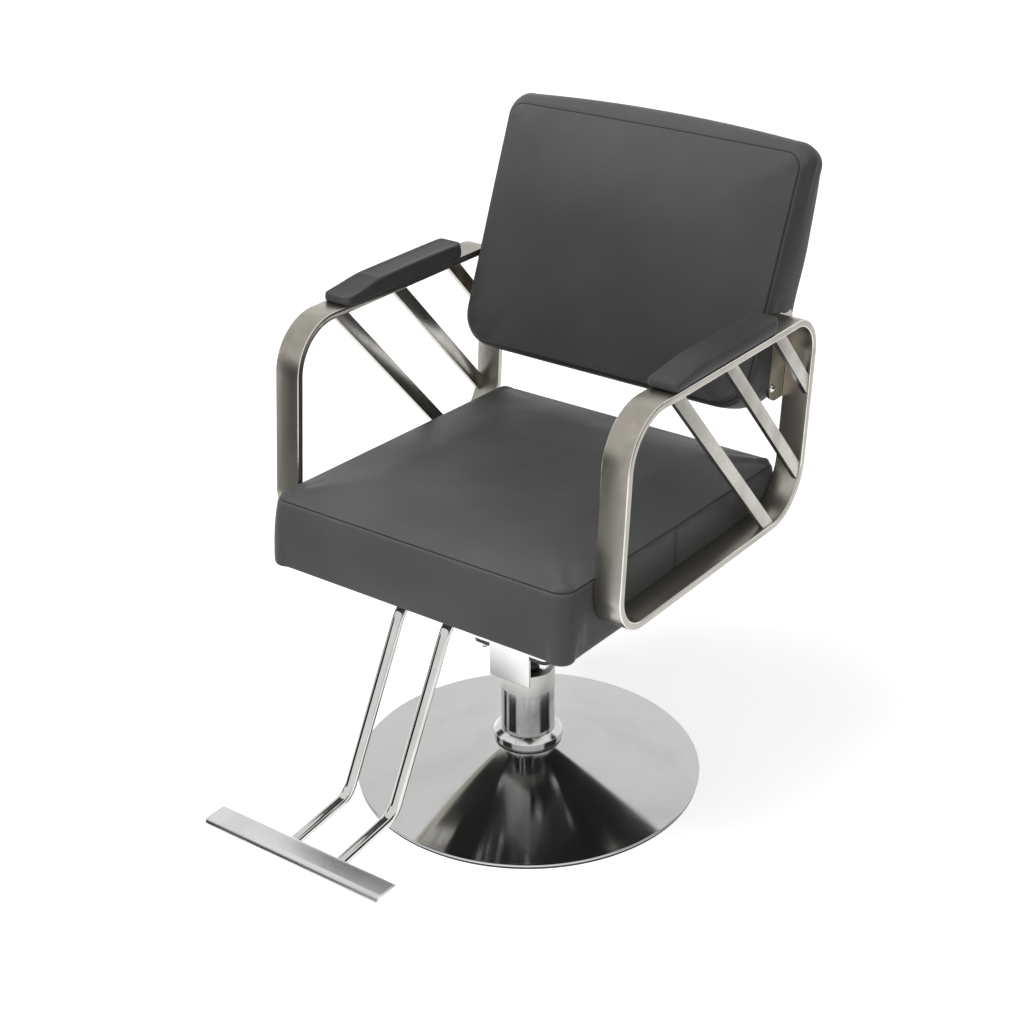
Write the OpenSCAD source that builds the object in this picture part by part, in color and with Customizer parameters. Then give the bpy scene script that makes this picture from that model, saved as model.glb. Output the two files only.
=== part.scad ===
// Hairdressing chair on a hydraulic column, lengths in millimetres.
// The chair faces -Y and +Z is up. The origin is on the floor under the middle of the base.
// It is drawn with the seat at its lowest, facing forward, and the pump pedal released.

/* [Base] */
// Radius of the round base
base_r = 250; // [225:1:275]
// Height of the dish edge above the floor
rim_h = 6; // [5:0.5:9]
// Width of the rolled dish edge
rim_w = 4; // [3:0.5:6]
// Thickness of the dish metal
dish_t = 2; // [1.5:0.1:2.5]
// Radius where the dish turns flat at the neck
neck_r = 47; // [44:0.5:50]
// Height of the flat top of the dish
neck_h = 54; // [50:0.5:56]
// Width of the rubber floor trim
trim_w = 23; // [18:1:26]
// Height of the rubber floor trim
trim_h = 2.5; // [2:0.1:3]
// How far the trim stays inside the dish edge
trim_inset = 1; // [0.5:0.5:2]
// Thickness of the steel floor plate
plate_t = 5; // [4:0.5:5]
// Outer radius of the ballast ring
ballast_r = 170; // [140:1:178]
// Inner radius of the ballast ring
ballast_hole_r = 66; // [63:1:90]
// Thickness of the ballast ring
ballast_t = 7; // [4:0.5:7.5]

/* [Column] */
// Radius of the chrome shell
shell_r = 38.5; // [37:0.5:42]
// Thickness of the chrome shell
shell_t = 1.6; // [1.2:0.1:1.8]
// Height of the top edge of the shell
shell_top = 142; // [138:0.5:148]
// Radius of the satin cap
cap_r = 39; // [38.5:0.5:43]
// Height of the top of the cap
cap_top = 174.5; // [173:0.5:176]
// Thickness of the cap roof
cap_roof_t = 5.5; // [4:0.5:6]
// Wall of the cap
cap_wall = 5; // [3:0.5:6]
// Length of the cap spigot inside the shell
spigot_l = 8; // [6:0.5:12]
// Relief in the cap round the pump boss
boss_relief = 1; // [0.5:0.1:1.5]
// Chamfer on the cap edge
cap_chamfer = 1.5; // [0.5:0.5:3]
// Radius of the neck ring
ring_r = 46; // [44:0.5:47]
// Height of the neck ring
ring_h = 2.5; // [2:0.1:4]
// Radius of the collar
collar_r = 50; // [48:0.5:54]
// Height of the straight part of the collar
collar_h = 11.2; // [9:0.1:13]
// Height of the collar bevel
bevel_h = 7.5; // [5:0.5:9]
// Radius at the top of the collar bevel
bevel_r = 40.5; // [40:0.5:45]
// Radius of the collar screw
collar_screw_r = 2.5; // [2:0.5:3]
// Size of the collar screw socket
collar_socket_r = 1.4; // [1:0.1:1.6]
// Height of the collar screw above the collar underside
collar_screw_z = 5.5; // [4:0.5:8]

/* [Pump] */
// Radius of the pump foot
foot_r = 60; // [58:1:62]
// Thickness of the pump foot
foot_t = 8; // [6:0.5:10]
// Radius of the pump barrel
barrel_r = 22; // [21.5:0.1:22]
// Height of the top of the barrel
barrel_top = 168; // [166:0.5:168.5]
// Radius of the barrel bore
bore_r = 18; // [17.5:0.1:18.5]
// Height of the bottom of the bore
bore_floor = 29; // [26:0.5:30]
// Length of the guide bush
bush_l = 17; // [14:0.5:18]
// Outer radius of the guide bush
bush_r = 19; // [18.8:0.1:19.5]
// Radius of the wiper seal
wiper_r = 19; // [18:0.5:20]
// Thickness of the wiper seal
wiper_t = 5; // [4:0.5:5.5]
// Bolt circle radius of the pump foot
foot_bolt_ring = 50; // [48:0.5:52]
// Depth of the pump foot bolts in the floor plate
foot_bolt_deep = 4; // [3:0.5:4]
// Number of pump foot bolts
foot_bolt_count = 4; // [3:1:6]
// Direction of the pump lever about the column, in degrees
lever_az = 126; // [120:1:132]
// Distance of the plunger from the column axis
plunger_x = 29; // [29:0.1:29.2]
// Radius of the plunger
plunger_r = 5; // [4.5:0.1:5.2]
// Radius of the plunger head
plunger_head_r = 6.5; // [6.5:0.1:6.8]
// Thickness of the plunger head
plunger_head_t = 3; // [2:0.5:4]
// Radius of the casting round the plunger
boss_r = 7.5; // [7:0.1:7.6]
// Height of the underside of the plunger casting
boss_z = 126; // [124:0.5:130]
// Height of the top of the plunger
plunger_top = 148; // [146:0.5:150]
// Depth of free bore above the plunger
plunger_free = 15; // [12:0.5:16]
// Distance of the lever pivot from the column axis
pivot_x = 59; // [58:0.5:62]
// Height of the lever pivot
pivot_z = 98; // [96:0.5:100]
// Lift of the released lever, in degrees
lever_lift = 10; // [8:0.5:12]
// Reach of the lever outside its pivot
lever_out = 244; // [230:1:250]
// Width of the lever bar
lever_w = 12; // [10:0.5:12]
// Depth of the lever bar
lever_t = 10; // [8:0.5:10]
// Radius of the lever's round nose under the plunger
nose_r = 6.5; // [6.5:0.1:8]
// Radius of the lever boss at the pivot
lever_boss_r = 9; // [8:0.5:10]
// Width of the lever boss
lever_boss_w = 14; // [13:0.5:14]
// Radius of the pivot pin
pin_r = 4; // [3.5:0.5:4.5]
// Radius of the heads of the pivot pin
pin_head_r = 6.5; // [6:0.5:8]
// Thickness of the heads of the pivot pin
pin_head_t = 3; // [2:0.5:4]
// Thickness of the bracket cheeks
cheek_t = 4; // [3:0.5:5]
// Side clearance between lever boss and cheeks
cheek_gap = 0.5; // [0.3:0.1:1]
// Thickness of the bracket saddle on the shell
saddle_t = 3; // [2:0.5:4]
// Width of the bracket saddle
saddle_w = 40; // [34:1:50]
// Height of the bracket
bracket_h = 28; // [26:1:32]
// Width of the foot plate of the pedal
pedal_w = 70; // [60:1:80]
// Length of the foot plate of the pedal
pedal_l = 36; // [30:1:45]
// Thickness of the foot plate of the pedal
pedal_t = 4; // [3:0.5:5]
// Thickness of the rubber pedal pad
pedal_pad_t = 7; // [5:0.5:9]
// Overhang of the rubber pad round the foot plate
pedal_lip = 2; // [1:0.5:3]
// Corner radius of the pedal
pedal_corner = 6; // [4:0.5:10]
// Height of the opening in the shell for the lever
slot_h = 22; // [20:1:24]
// Width of the opening in the shell for the lever
slot_w = 14; // [13:0.5:16]
// Turns of the plunger spring
spring_turns = 5; // [4:1:6]
// Wire radius of the plunger spring
spring_wire_r = 0.6; // [0.5:0.1:0.7]
// Middle radius of the plunger spring
spring_r = 5.8; // [5.7:0.1:6]

/* [Ram and swivel] */
// Radius of the ram
ram_r = 15; // [14:0.5:15]
// Height of the lower end of the ram
ram_foot = 30; // [29.5:0.5:31]
// Height of the upper end of the ram
ram_top = 296.6; // [290:0.1:300]
// Length of the ram piston
piston_l = 20; // [16:0.5:20]
// Width of the piston seal
seal_w = 6; // [4:0.5:8]
// Depth of the piston seal groove
seal_depth = 1.6; // [1:0.1:2]
// Height of the underside of the thrust collar
thrust_z = 178; // [177:0.5:180]
// Thickness of the thrust collar
thrust_t = 6; // [4:0.5:7]
// Radius of the thrust collar
thrust_r = 24; // [22:0.5:28]
// Thickness of the thrust washer
washer_t = 2.5; // [1.5:0.1:3]
// Outer radius of the swivel hub
hub_r = 21; // [19:0.5:22]
// Radius of the retaining washer on the ram
top_washer_r = 20; // [18:0.5:22]
// Thickness of the retaining washer on the ram
top_washer_t = 4; // [3:0.5:5]
// Radius of the retaining screw
top_screw_r = 5; // [4:0.5:6]
// Length of the retaining screw in the ram
top_screw_l = 26; // [20:1:30]
// Size across the flats of the retaining screw
top_screw_af = 17; // [14:1:18]
// Height of the retaining screw head
top_screw_h = 6.4; // [5:0.1:8]

/* [Pedestal] */
// Height of the underside of the hub plate
hub_plate_z = 213; // [210:0.5:215]
// Thickness of the hub plate
hub_plate_t = 6; // [4:0.5:6]
// Thickness of the pedestal flange
flange_t = 6; // [4:0.5:8]
// Width of the flange plates
flange_w = 128; // [122:1:136]
// Depth of the flange plates
flange_d = 90; // [84:1:96]
// Corner radius of the flange plates
flange_corner = 10; // [6:1:16]
// Sideways distance of the flange bolts
flange_bolt_x = 51.3; // [48:0.1:54]
// Forward distance of the flange bolts
flange_bolt_y = 34.4; // [32:0.1:35]
// Length of thread that shows below a flange nut
thread_out = 2.5; // [1:0.5:4]
// Width of the pedestal box
box_w = 69; // [64:1:74]
// Thickness of the pedestal box plates
box_t = 4; // [3:0.5:5]
// Outer half depth of the pedestal box
box_y = 45; // [44:0.5:46]
// Height of the lower edge of the front plate
skirt_z = 167; // [165:0.5:172]
// Width of the mount plate under the seat
mount_w = 180; // [160:1:200]
// Front edge of the mount plate, forward of the column
mount_front = 120; // [118:1:130]
// Back edge of the mount plate, behind the column
mount_back = 100; // [90:1:110]
// Thickness of the mount plate
mount_t = 5; // [4:0.5:6]
// Corner radius of the mount plate
mount_corner = 14; // [8:1:20]
// Setback of the mount bolts from the plate edges
mount_bolt_inset = 18; // [14:1:22]

/* [Fasteners] */
// Shank radius of the small bolts
small_r = 3; // [2.5:0.5:3.5]
// Size across the flats of the small bolts
small_af = 10; // [9:0.5:11]
// Head height of the small bolts
small_head = 4.4; // [3.5:0.1:5]
// Shank radius of the large bolts
large_r = 4; // [3.5:0.5:4.5]
// Size across the flats of the large bolts
large_af = 13; // [12:0.5:14]
// Head height of the large bolts
large_head = 5.3; // [4.5:0.1:6]
// Height of a nut on a large bolt
nut_h = 6.5; // [6:0.5:8]
// Radius of a dome head
dome_r = 7; // [6:0.5:8]
// Height of a dome head
dome_h = 3.6; // [3:0.1:4.5]

/* [Footrest] */
// Radius of the footrest tubes
tube_r = 8; // [7:0.5:9]
// Wall of the footrest tubes
tube_wall = 1.5; // [1.2:0.1:2]
// Sideways distance of the footrest tubes
tube_x = 38.2; // [36:0.1:42]
// Forward distance of the lower bend
bend_y = -355.2; // [-370:0.1:-340]
// Height of the lower bend
bend_z = 134.3; // [125:0.1:145]
// Slope of the tubes between the bends, in degrees
leg_slope = 61.1; // [58:0.1:64]
// Slope of the tubes under the bar, in degrees
toe_slope = 6; // [4:0.1:9]
// Length of the tubes beyond the lower bend
toe_l = 132; // [129:1:134]
// Radius of the lower bend
low_bend_r = 32; // [26:1:40]
// Radius of the upper bend
high_bend_r = 36; // [30:1:45]
// Swell of the tube wall in the bends
bend_swell = 0.06; // [0.04:0.01:0.2]
// Length of tube that runs into a bend
bend_lap = 0.5; // [0.3:0.1:0.8]
// Distance from the column axis to the rear tube ends
tube_end = 56; // [54:1:58]
// Half length of the footrest bar
bar_half = 141; // [130:1:150]
// Depth of the footrest bar
bar_d = 40; // [36:1:44]
// Thickness of the footrest bar
bar_t = 20; // [18:0.5:22]
// Edge radius of the footrest bar
bar_edge_r = 8.5; // [6:0.5:9]
// Distance of the middle of the bar from the lower bend
bar_at = 137; // [130:1:141]
// Depth of the tube seats under the middle of the bar
bar_seat = 0.2; // [0:0.1:1]
// Distance of the footrest screws from the lower bend
bar_screw_at = 123.5; // [121:0.5:125]
// Thickness of the end caps of the bar
bar_cap_t = 3; // [2:0.5:4]
// Width of a tube clamp
clamp_w = 44; // [42:1:48]
// Length of a tube clamp
clamp_l = 44; // [40:1:48]
// Height of a tube clamp
clamp_h = 19; // [18.5:0.5:21]
// Sideways distance of the clamp bolts from the tube
clamp_bolt_x = 15; // [14:0.5:16]
// Radius of the footrest screw heads
foot_head_r = 5.5; // [5:0.5:6]
// Height of the footrest screw heads
foot_head_h = 3; // [2.5:0.5:4]
// Length of the tube plugs
plug_l = 10; // [8:0.5:12]
// Thickness of the plug heads
plug_head = 2; // [1.5:0.5:3]

/* [Seat] */
// Height of the seat board underside above the floor at the column
board_z = 369.3; // [365:0.1:375]
// Backward slope of the seat, in degrees
seat_tilt = 2.35; // [1:0.05:4]
// Half width of the seat cushion
seat_half_w = 239.7; // [235:0.1:239.7]
// Half depth of the seat cushion
seat_half_d = 263.3; // [255:0.1:272]
// How far the seat cushion middle lies behind the column
seat_mid = 5.9; // [0:0.1:12]
// Corner radius of the seat cushion
seat_corner = 24; // [18:1:30]
// Height of the seat cushion sides
seat_side = 95; // [85:1:105]
// Rise of the seat top above its seam
seat_crown = 15; // [10:1:20]
// Draw of the cushion sides at the seams
seat_draw = 3; // [2:0.5:5]
// Margin of the cushion round the seat board
board_margin = 11; // [9:1:14]
// Thickness of the seat board
board_t = 12; // [9:1:15]

/* [Arms] */
// Gap between the seat cushion and the arm bands
band_gap = 0.3; // [0.3:0.1:4]
// Width of the arm bands
band_w = 40; // [36:1:44]
// Thickness of the arm bands
band_t = 10; // [8:0.5:12]
// Position of the lower front corner of the loop, forward of the column
loop_y = -200.9; // [-210:0.1:-190]
// Height of the lower front corner of the loop
loop_z = 397; // [393:0.5:401]
// Length of the loop
loop_l = 465.5; // [450:0.5:480]
// Height of the loop
loop_h = 292.5; // [285:0.5:300]
// Backward lean of the loop over its height
loop_lean = 24.4; // [18:0.1:30]
// Drop of the loop over its length
loop_drop = 6.2; // [0:0.1:10]
// Corner radius at the lower front
loop_low_front_r = 54; // [45:1:62]
// Corner radius at the lower back
loop_low_back_r = 82; // [70:1:92]
// Corner radius at the upper back
loop_high_back_r = 56; // [46:1:64]
// Corner radius at the upper front
loop_high_front_r = 78; // [68:1:88]
// Number of diagonal bars in a loop
slat_count = 3; // [3:1:3]
// Width of a diagonal bar
slat_w = 20; // [16:0.5:24]
// Thickness of a diagonal bar
slat_t = 8; // [6:0.5:10]
// Setback of the bars from the outer band edge
slat_inset = 2; // [1:0.5:4]
// Slope of the diagonal bars, in degrees
slat_slope = 48.2; // [46:0.1:50]
// Position of the first bar at the top of the loop
slat_y = -67; // [-72:0.5:-60]
// Height at which the first bar is measured
slat_z = 677; // [672:0.5:682]
// Distance between the bars
slat_pitch = 124.7; // [120:0.1:130]
// Distance of the arm tabs from the column
tab_y = 100; // [90:1:110]
// Width of an arm tab
tab_w = 40; // [34:1:50]
// Thickness of an arm tab
tab_t = 4; // [3:0.5:5]
// Reach of an arm tab under the seat board
tab_reach = 70; // [60:1:80]
// Distance of the outer tab bolt from the band
tab_bolt = 24; // [22:1:28]
// Distance between the two tab bolts
tab_bolt_pitch = 26; // [22:1:30]

/* [Arm pads] */
// Middle of the arm pads outside the inner edge of the bands
pad_out = 18; // [16:0.5:20]
// Middle of the arm pads behind the column
pad_y = 50; // [40:1:60]
// Half width of an arm pad
pad_half_w = 21; // [19:0.5:23]
// Half length of an arm pad
pad_half_l = 128; // [118:1:136]
// Thickness of the front of a pad
pad_front_t = 13; // [11:0.5:16]
// Thickness of the back of a pad
pad_back_t = 19; // [16:0.5:22]
// Length over which a pad thickens
pad_ramp = 80; // [60:1:110]
// Swell of a pad at its sides
pad_swell = 2; // [1:0.5:3]
// Crown of a pad
pad_crown = 2; // [1:0.5:4]
// Corner radius of a pad
pad_corner = 12; // [9:0.5:16]
// Margin of the pad round its board
pad_margin = 5; // [4:0.5:6]
// Thickness of the pad board
pad_board_t = 4; // [3:0.5:5]
// Distance of the pad screws from the middle of a pad
pad_screw_y = 90; // [80:1:100]
// Shank radius of the pad screws
pad_screw_r = 2; // [1.5:0.5:2.5]
// Head radius of the pad screws
pad_screw_head_r = 4.5; // [4:0.5:5]
// Head height of the pad screws
pad_screw_head_h = 2.5; // [2:0.5:3]

/* [Back] */
// Lower front edge of the back ahead of the arm loops' low rear corner
back_set = 112.4; // [106:0.1:116]
// Height of the lower front edge of the back
back_z = 567.4; // [560:0.1:575]
// Recline of the front of the back, in degrees
back_lean = 22.94; // [20:0.01:26]
// Height of the back along its slope
back_h = 354.9; // [340:0.1:370]
// Gap between the back and the arm bands
back_gap = 0.3; // [0.3:0.1:6]
// Thickness of the back at its lower edge
back_deep = 110.5; // [105:0.5:118]
// Thickness of the back at its upper edge
back_thin = 58.4; // [54:0.1:64]
// Upper corner radius of the back
back_corner = 28; // [22:1:34]
// Lower corner radius of the back
back_low_corner = 40; // [30:1:50]
// Draw of the back at its seams
back_draw = 3; // [2:0.5:4]
// Crown of the front of the back
back_crown = 10; // [6:1:14]
// Rise of the lower rear edge of the back
back_foot = 28; // [24:1:32]
// Swell of the top of the back
back_head = 10; // [6:1:14]
// Extra swell in the middle of the top
back_arch = 10; // [6:1:14]
// Margin of the back cushion round its frame
frame_margin = 15; // [13:1:18]
// Depth of the wooden back frame
frame_d = 38; // [34:1:38]
// Width of the rails of the back frame
rail_w = 34; // [28:1:40]
// Thickness of the rear cover
cover_t = 3; // [2:0.5:4]
// Corner radius of the frame and the cover
frame_corner = 16; // [14:1:22]
// Thickness of the back brackets
plate_bracket_t = 4; // [3:0.5:4]
// Lower front corner of a back bracket ahead of the arm loops' low rear corner
bracket_set = 36.6; // [35:0.1:39]
// Lower edge of a back bracket
bracket_z = 553.7; // [548:0.1:560]
// Width of a back bracket
bracket_w = 50; // [46:1:54]
// Height of a back bracket
bracket_tall = 128; // [124:1:129]
// Corner radius at the front of a back bracket
bracket_front_r = 21; // [16:1:24]
// Corner radius at the rear of a back bracket
bracket_rear_r = 6; // [4:1:10]
// Lower bracket bolt behind the front edge of its bracket
bracket_bolt_in = 12; // [10:0.5:15]
// Height of the lower bracket bolt
bracket_bolt_z = 575; // [572:0.5:580]
// Rise to the upper bracket bolt
bracket_bolt_rise = 77; // [70:1:80]
// Backward step to the upper bracket bolt
bracket_bolt_step = 10; // [8:0.5:12]
// Length of a bracket bolt in the back
bracket_bolt_l = 36; // [30:1:40]

/* [Fits] */
// Running clearance of shafts and bores
run_gap = 0.05; // [0.03:0.01:0.1]
// Clearance of parts that slip over each other
slip_gap = 0.3; // [0.2:0.05:0.5]
// Clearance between upholstery and its inner boards
soft_gap = 0.3; // [0.2:0.05:0.5]
// Extra length of every cut past the surface it opens
overrun = 2; // [1:0.5:4]

/* [Hidden] */
$fa = 4;
$fs = 1;

// Levels of the parts stacked up from the floor
plate_r = base_r - trim_inset - trim_w - slip_gap;
foot_top = plate_t + foot_t;
ring_top = neck_h + ring_h;
collar_top = ring_top + collar_h;
bush_z = barrel_top - bush_l;
hub_foot = thrust_z + thrust_t + washer_t + run_gap;
hub_top = ram_top - 2 * run_gap;
flange_z = hub_plate_z + hub_plate_t;
flange_top = flange_z + flange_t;

// Plunger rest height, from the rounded end of the lever under it
lever_in = pivot_x - plunger_x;
plunger_z = pivot_z - lever_in * sin(lever_lift) + nose_r + slip_gap;

// Corners of an arm loop in side view, lower front first and then counterclockwise
loop_low_front = [loop_y, loop_z];
loop_low_back = loop_low_front + [loop_l, -loop_drop];
loop_high_back = loop_low_back + [loop_lean, loop_h];
loop_high_front = loop_low_front + [loop_lean, loop_h];
band_x = seat_half_w + band_gap;
pad_x = band_x + pad_out;
loop_radii = [loop_low_front_r, loop_low_back_r, loop_high_back_r, loop_high_front_r];
loop_fall = atan(loop_drop / loop_l);
loop_tilt = atan(loop_lean / loop_h);

// Footrest tube line in side view, from the rear end down to the toe
tube_h = mount_t + tube_r;
tube_rear = [-tube_end * cos(seat_tilt) - tube_h * sin(seat_tilt),
    board_z + tube_end * sin(seat_tilt) - tube_h * cos(seat_tilt)];
leg_rise = tube_rear[1] - tan(seat_tilt) * (bend_y - tube_rear[0]) - bend_z;
leg_l = leg_rise / (sin(leg_slope) + tan(seat_tilt) * cos(leg_slope));
tube_high = [bend_y, bend_z] + leg_l * [cos(leg_slope), sin(leg_slope)];
tube_toe = [bend_y, bend_z] - toe_l * [cos(toe_slope), sin(toe_slope)];
tube_line = [tube_rear, tube_high, [bend_y, bend_z], tube_toe];
tube_bends = [0, high_bend_r, low_bend_r, 0];

// Wedge of the back: its thickness falls from the lower to the upper edge
back_y = loop_low_back[0] - back_set;
back_half_w = band_x - back_gap;
wedge_rate = (back_deep - back_thin) / back_h;
wedge_angle = atan(wedge_rate);
frame_low = (back_foot + frame_margin) / cos(wedge_angle) + (frame_d + cover_t) * tan(wedge_angle);
frame_high = (back_h + back_head / 2 - frame_margin) / cos(wedge_angle) - slip_gap;
frame_half_w = back_half_w - frame_margin - soft_gap;
bracket_y = loop_low_back[0] - bracket_set;
bracket_bolt_y = bracket_y + bracket_bolt_in;

// Steps round the outlines of the upholstery
arc_steps = 4;
side_steps = 6;

// Seat rings from the lower edge up: plan share, draw share, side share, crown share
seat_ring_shares = [
    [1, 1.6, 0, 0],
    [1, 0.6, 0.04, 0],
    [1, 0.15, 0.2, 0],
    [1, 0, 0.5, 0],
    [1, 0.2, 0.8, 0],
    [1, 0.7, 0.96, 0],
    [1, 1.1, 0.985, 0],
    [1, 0.8, 1, 0.02],
    [0.97, 0.8, 1, 0.3],
    [0.9, 0.8, 1, 0.6],
    [0.76, 0.8, 1, 0.84],
    [0.55, 0.8, 1, 0.96],
    [0.28, 0.8, 1, 1]];

// Pad rings from the lower edge up: plan share, draw share, thickness share, crown share
pad_ring_shares = [
    [1, 0.4, 0, 0],
    [1, -0.4, 0.15, 0],
    [1, -1, 0.5, 0],
    [1, -0.7, 0.8, 0],
    [1, 0.6, 0.97, 0],
    [0.86, 0.6, 1, 0.5],
    [0.5, 0.6, 1, 1]];

// Back rings from the rear forward: plan, draw, depth, crown, foot, head and arch shares
back_ring_shares = [
    [1, 1, 1, 0, 1, 0.5, 0.1],
    [1, 0.3, 0.94, 0, 0.55, 0.8, 0.5],
    [1, 0, 0.75, 0, 0.16, 1, 0.9],
    [1, 0, 0.5, 0, 0, 1, 1],
    [1, 0, 0.25, 0, 0, 0.7, 0.8],
    [1, 0.4, 0.06, 0, 0, 0.2, 0.3],
    [1, 1.1, 0.02, 0, 0, 0, 0.2],
    [1, 0.7, 0, 0.02, 0, 0, 0.2],
    [0.97, 0.7, 0, 0.35, 0, 0, 0.2],
    [0.9, 0.7, 0, 0.62, 0, 0, 0],
    [0.76, 0.7, 0, 0.85, 0, 0, 0],
    [0.52, 0.7, 0, 0.96, 0, 0, 0],
    [0.26, 0.7, 0, 1, 0, 0, 0]];

// Side view of the chair: drawing x runs along Y, drawing y runs up, depth runs along X
module side_view() {
    rotate([90, 0, 90]) children();
}

// The place of the seat: the board underside is the level plane of these children
module on_seat() {
    translate([0, 0, board_z]) rotate([-seat_tilt, 0, 0]) children();
}

// The place of the back: its lower front edge is the origin, Y runs into it and Z up its slope
module on_back() {
    translate([0, back_y, back_z]) rotate([-back_lean, 0, 0]) children();
}

// The rear face of the back as the plane y = 0
module on_back_rear() {
    on_back() translate([0, back_deep, 0]) rotate([wedge_angle, 0, 0]) children();
}

// The place of the pump lever, with +X away from the column
module on_lever_side() {
    rotate([0, 0, lever_az]) children();
}

// The released lever about its pivot
module on_lever() {
    on_lever_side() translate([pivot_x, 0, pivot_z]) rotate([0, -lever_lift, 0]) children();
}

// The toe part of the footrest tubes, with +Y forward along them
module on_toe() {
    translate([0, bend_y, bend_z]) rotate([toe_slope, 0, 0]) mirror([0, 1, 0]) children();
}

// Middle of the footrest bar, which lies level on the sloping tubes
module on_bar() {
    on_toe()
        translate([0, bar_at, tube_r - bar_seat + bar_t / 2]) rotate([toe_slope, 0, 0]) children();
}

// Both sides of the chair
module both_sides() {
    children();
    mirror([1, 0, 0]) children();
}

function heading(p, q) = atan2(q[1] - p[1], q[0] - p[0]);
function along(a) = [cos(a), sin(a)];
function across(a) = [-sin(a), cos(a)];
function wrap_turn(a) = (a + 540) % 360 - 180;
function before(list, i) = list[(i + len(list) - 1) % len(list)];
function after(list, i) = list[(i + 1) % len(list)];
function turn_at(p, i) = wrap_turn(heading(p[i], after(p, i)) - heading(before(p, i), p[i]));
function setback_at(p, r, i) = r[i] * tan(abs(turn_at(p, i)) / 2);
function bend_start(p, r, i) = p[i] - setback_at(p, r, i) * along(heading(before(p, i), p[i]));
function bend_end(p, r, i) = p[i] + setback_at(p, r, i) * along(heading(p[i], after(p, i)));
function bend_side(p, i) = sign(turn_at(p, i));
function bend_centre(p, r, i) =
    bend_start(p, r, i) + bend_side(p, i) * r[i] * across(heading(before(p, i), p[i]));
function bend_angle(p, i) =
    heading(before(p, i), p[i]) - bend_side(p, i) * 90 - (bend_side(p, i) < 0 ? -turn_at(p, i) : 0);

// One straight stretch of a bent line, from corner i to the next, running into its bends
module straight_piece(p, r, i, lap) {
    way = heading(p[i], p[i + 1]);
    start = r[i] == 0 ? p[i] : bend_end(p, r, i) - lap * along(way);
    stop = r[i + 1] == 0 ? p[i + 1] : bend_start(p, r, i + 1) + lap * along(way);
    translate([start[0], start[1], 0])
        rotate([0, 0, way])
            rotate([90, 0, 90])
                linear_extrude(norm(stop - start)) children();
}

// One bend of a line, its section is drawn with x to the left of the line
module bend_piece(p, r, i) {
    centre = bend_centre(p, r, i);
    translate([centre[0], centre[1], 0])
        rotate([0, 0, bend_angle(p, i)])
            rotate_extrude(angle = abs(turn_at(p, i)))
                translate([r[i], 0])
                    mirror([turn_at(p, i) > 0 ? 1 : 0, 0])
                        children();
}

// Flat outline with rounded corners
module rounded_outline(p, r) {
    polygon([for (i = [0:len(p) - 1]) each [bend_start(p, r, i), bend_end(p, r, i)]]);
    for (i = [0:len(p) - 1])
        translate(bend_centre(p, r, i)) circle(r = r[i]);
}

// Rounded rectangle of half sizes a and b
module rounded_plate(a, b, r) {
    rounded_outline([[-a, -b], [a, -b], [a, b], [-a, b]], [r, r, r, r]);
}

// Arm loop outline, drawn in by some distance
module loop_outline(inset) {
    fall = along(-loop_fall);
    lean = along(90 - loop_tilt);
    slant = sin(90 - loop_tilt + loop_fall);
    step = inset / slant;
    p = [loop_low_front + step * (fall + lean),
        loop_low_back + step * (lean - fall),
        loop_high_back - step * (fall + lean),
        loop_high_front + step * (fall - lean)];
    rounded_outline(p, [for (r = loop_radii) r - inset]);
}

// Hexagon head bolt, head on top of z = 0 and shank below it
module hex_bolt(shank_r, shank_l, flats, head) {
    cylinder(r = flats / sqrt(3), h = head, $fn = 6);
    translate([0, 0, -shank_l]) cylinder(r = shank_r, h = shank_l);
}

// Domed bolt, head on top of z = 0 and shank below it
module dome_bolt(shank_r, shank_l, head_r, head) {
    cap = (pow(head_r, 2) + pow(head, 2)) / (2 * head);
    intersection() {
        translate([0, 0, head - cap]) sphere(r = cap);
        cylinder(r = head_r, h = head);
    }
    translate([0, 0, -shank_l]) cylinder(r = shank_r, h = shank_l);
}

function corner_spot(a, b, r, c) =
    [(a - r) * (c == 0 || c == 3 ? 1 : -1), (b - r) * (c < 2 ? 1 : -1)];
function arc_spot(a, b, radii, c, i) =
    corner_spot(a, b, radii[c], c) + radii[c] * along(90 * c + 90 * i / arc_steps);
function side_spot(a, b, radii, c, i) =
    let (p = arc_spot(a, b, radii, c, arc_steps), q = arc_spot(a, b, radii, (c + 1) % 4, 0))
    p + (q - p) * i / (side_steps + 1);
function soft_ring(a, b, radii) = [for (c = [0:3]) each concat(
    [for (i = [0:arc_steps]) arc_spot(a, b, radii, c, i)],
    [for (i = [1:side_steps]) side_spot(a, b, radii, c, i)])];

// Closed skin over rings, with a point at each end
module ringed_solid(rings, low, high) {
    n = len(rings[0]);
    k = len(rings);
    top = n * k + 1;
    spots = concat([low], [for (ring = rings) each ring], [high]);
    low_faces = [for (j = [0:n - 1]) [0, 1 + j, 1 + (j + 1) % n]];
    high_faces = [for (j = [0:n - 1]) [top, top - n + (j + 1) % n, top - n + j]];
    side_faces = [for (i = [0:k - 2]) for (j = [0:n - 1])
        let (a = 1 + i * n + j, b = 1 + i * n + (j + 1) % n)
        each [[a, a + n, b + n], [a, b + n, b]]];
    polyhedron(points = spots, faces = concat(low_faces, side_faces, high_faces));
}

// Base

module floor_trim() {
    color("dimgray")
        difference() {
            cylinder(r = base_r - trim_inset, h = trim_h);
            translate([0, 0, -overrun])
                cylinder(r = base_r - trim_inset - trim_w, h = trim_h + 2 * overrun);
        }
}

module foot_bolt_places() {
    for (i = [0:foot_bolt_count - 1])
        rotate([0, 0, (i + 1 / 2) * 360 / foot_bolt_count])
            translate([foot_bolt_ring, 0, 0]) children();
}

module floor_plate() {
    color("gray")
        difference() {
            cylinder(r = plate_r, h = plate_t);
            foot_bolt_places()
                translate([0, 0, plate_t - foot_bolt_deep])
                    cylinder(r = large_r, h = foot_bolt_deep + overrun);
        }
}

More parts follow.
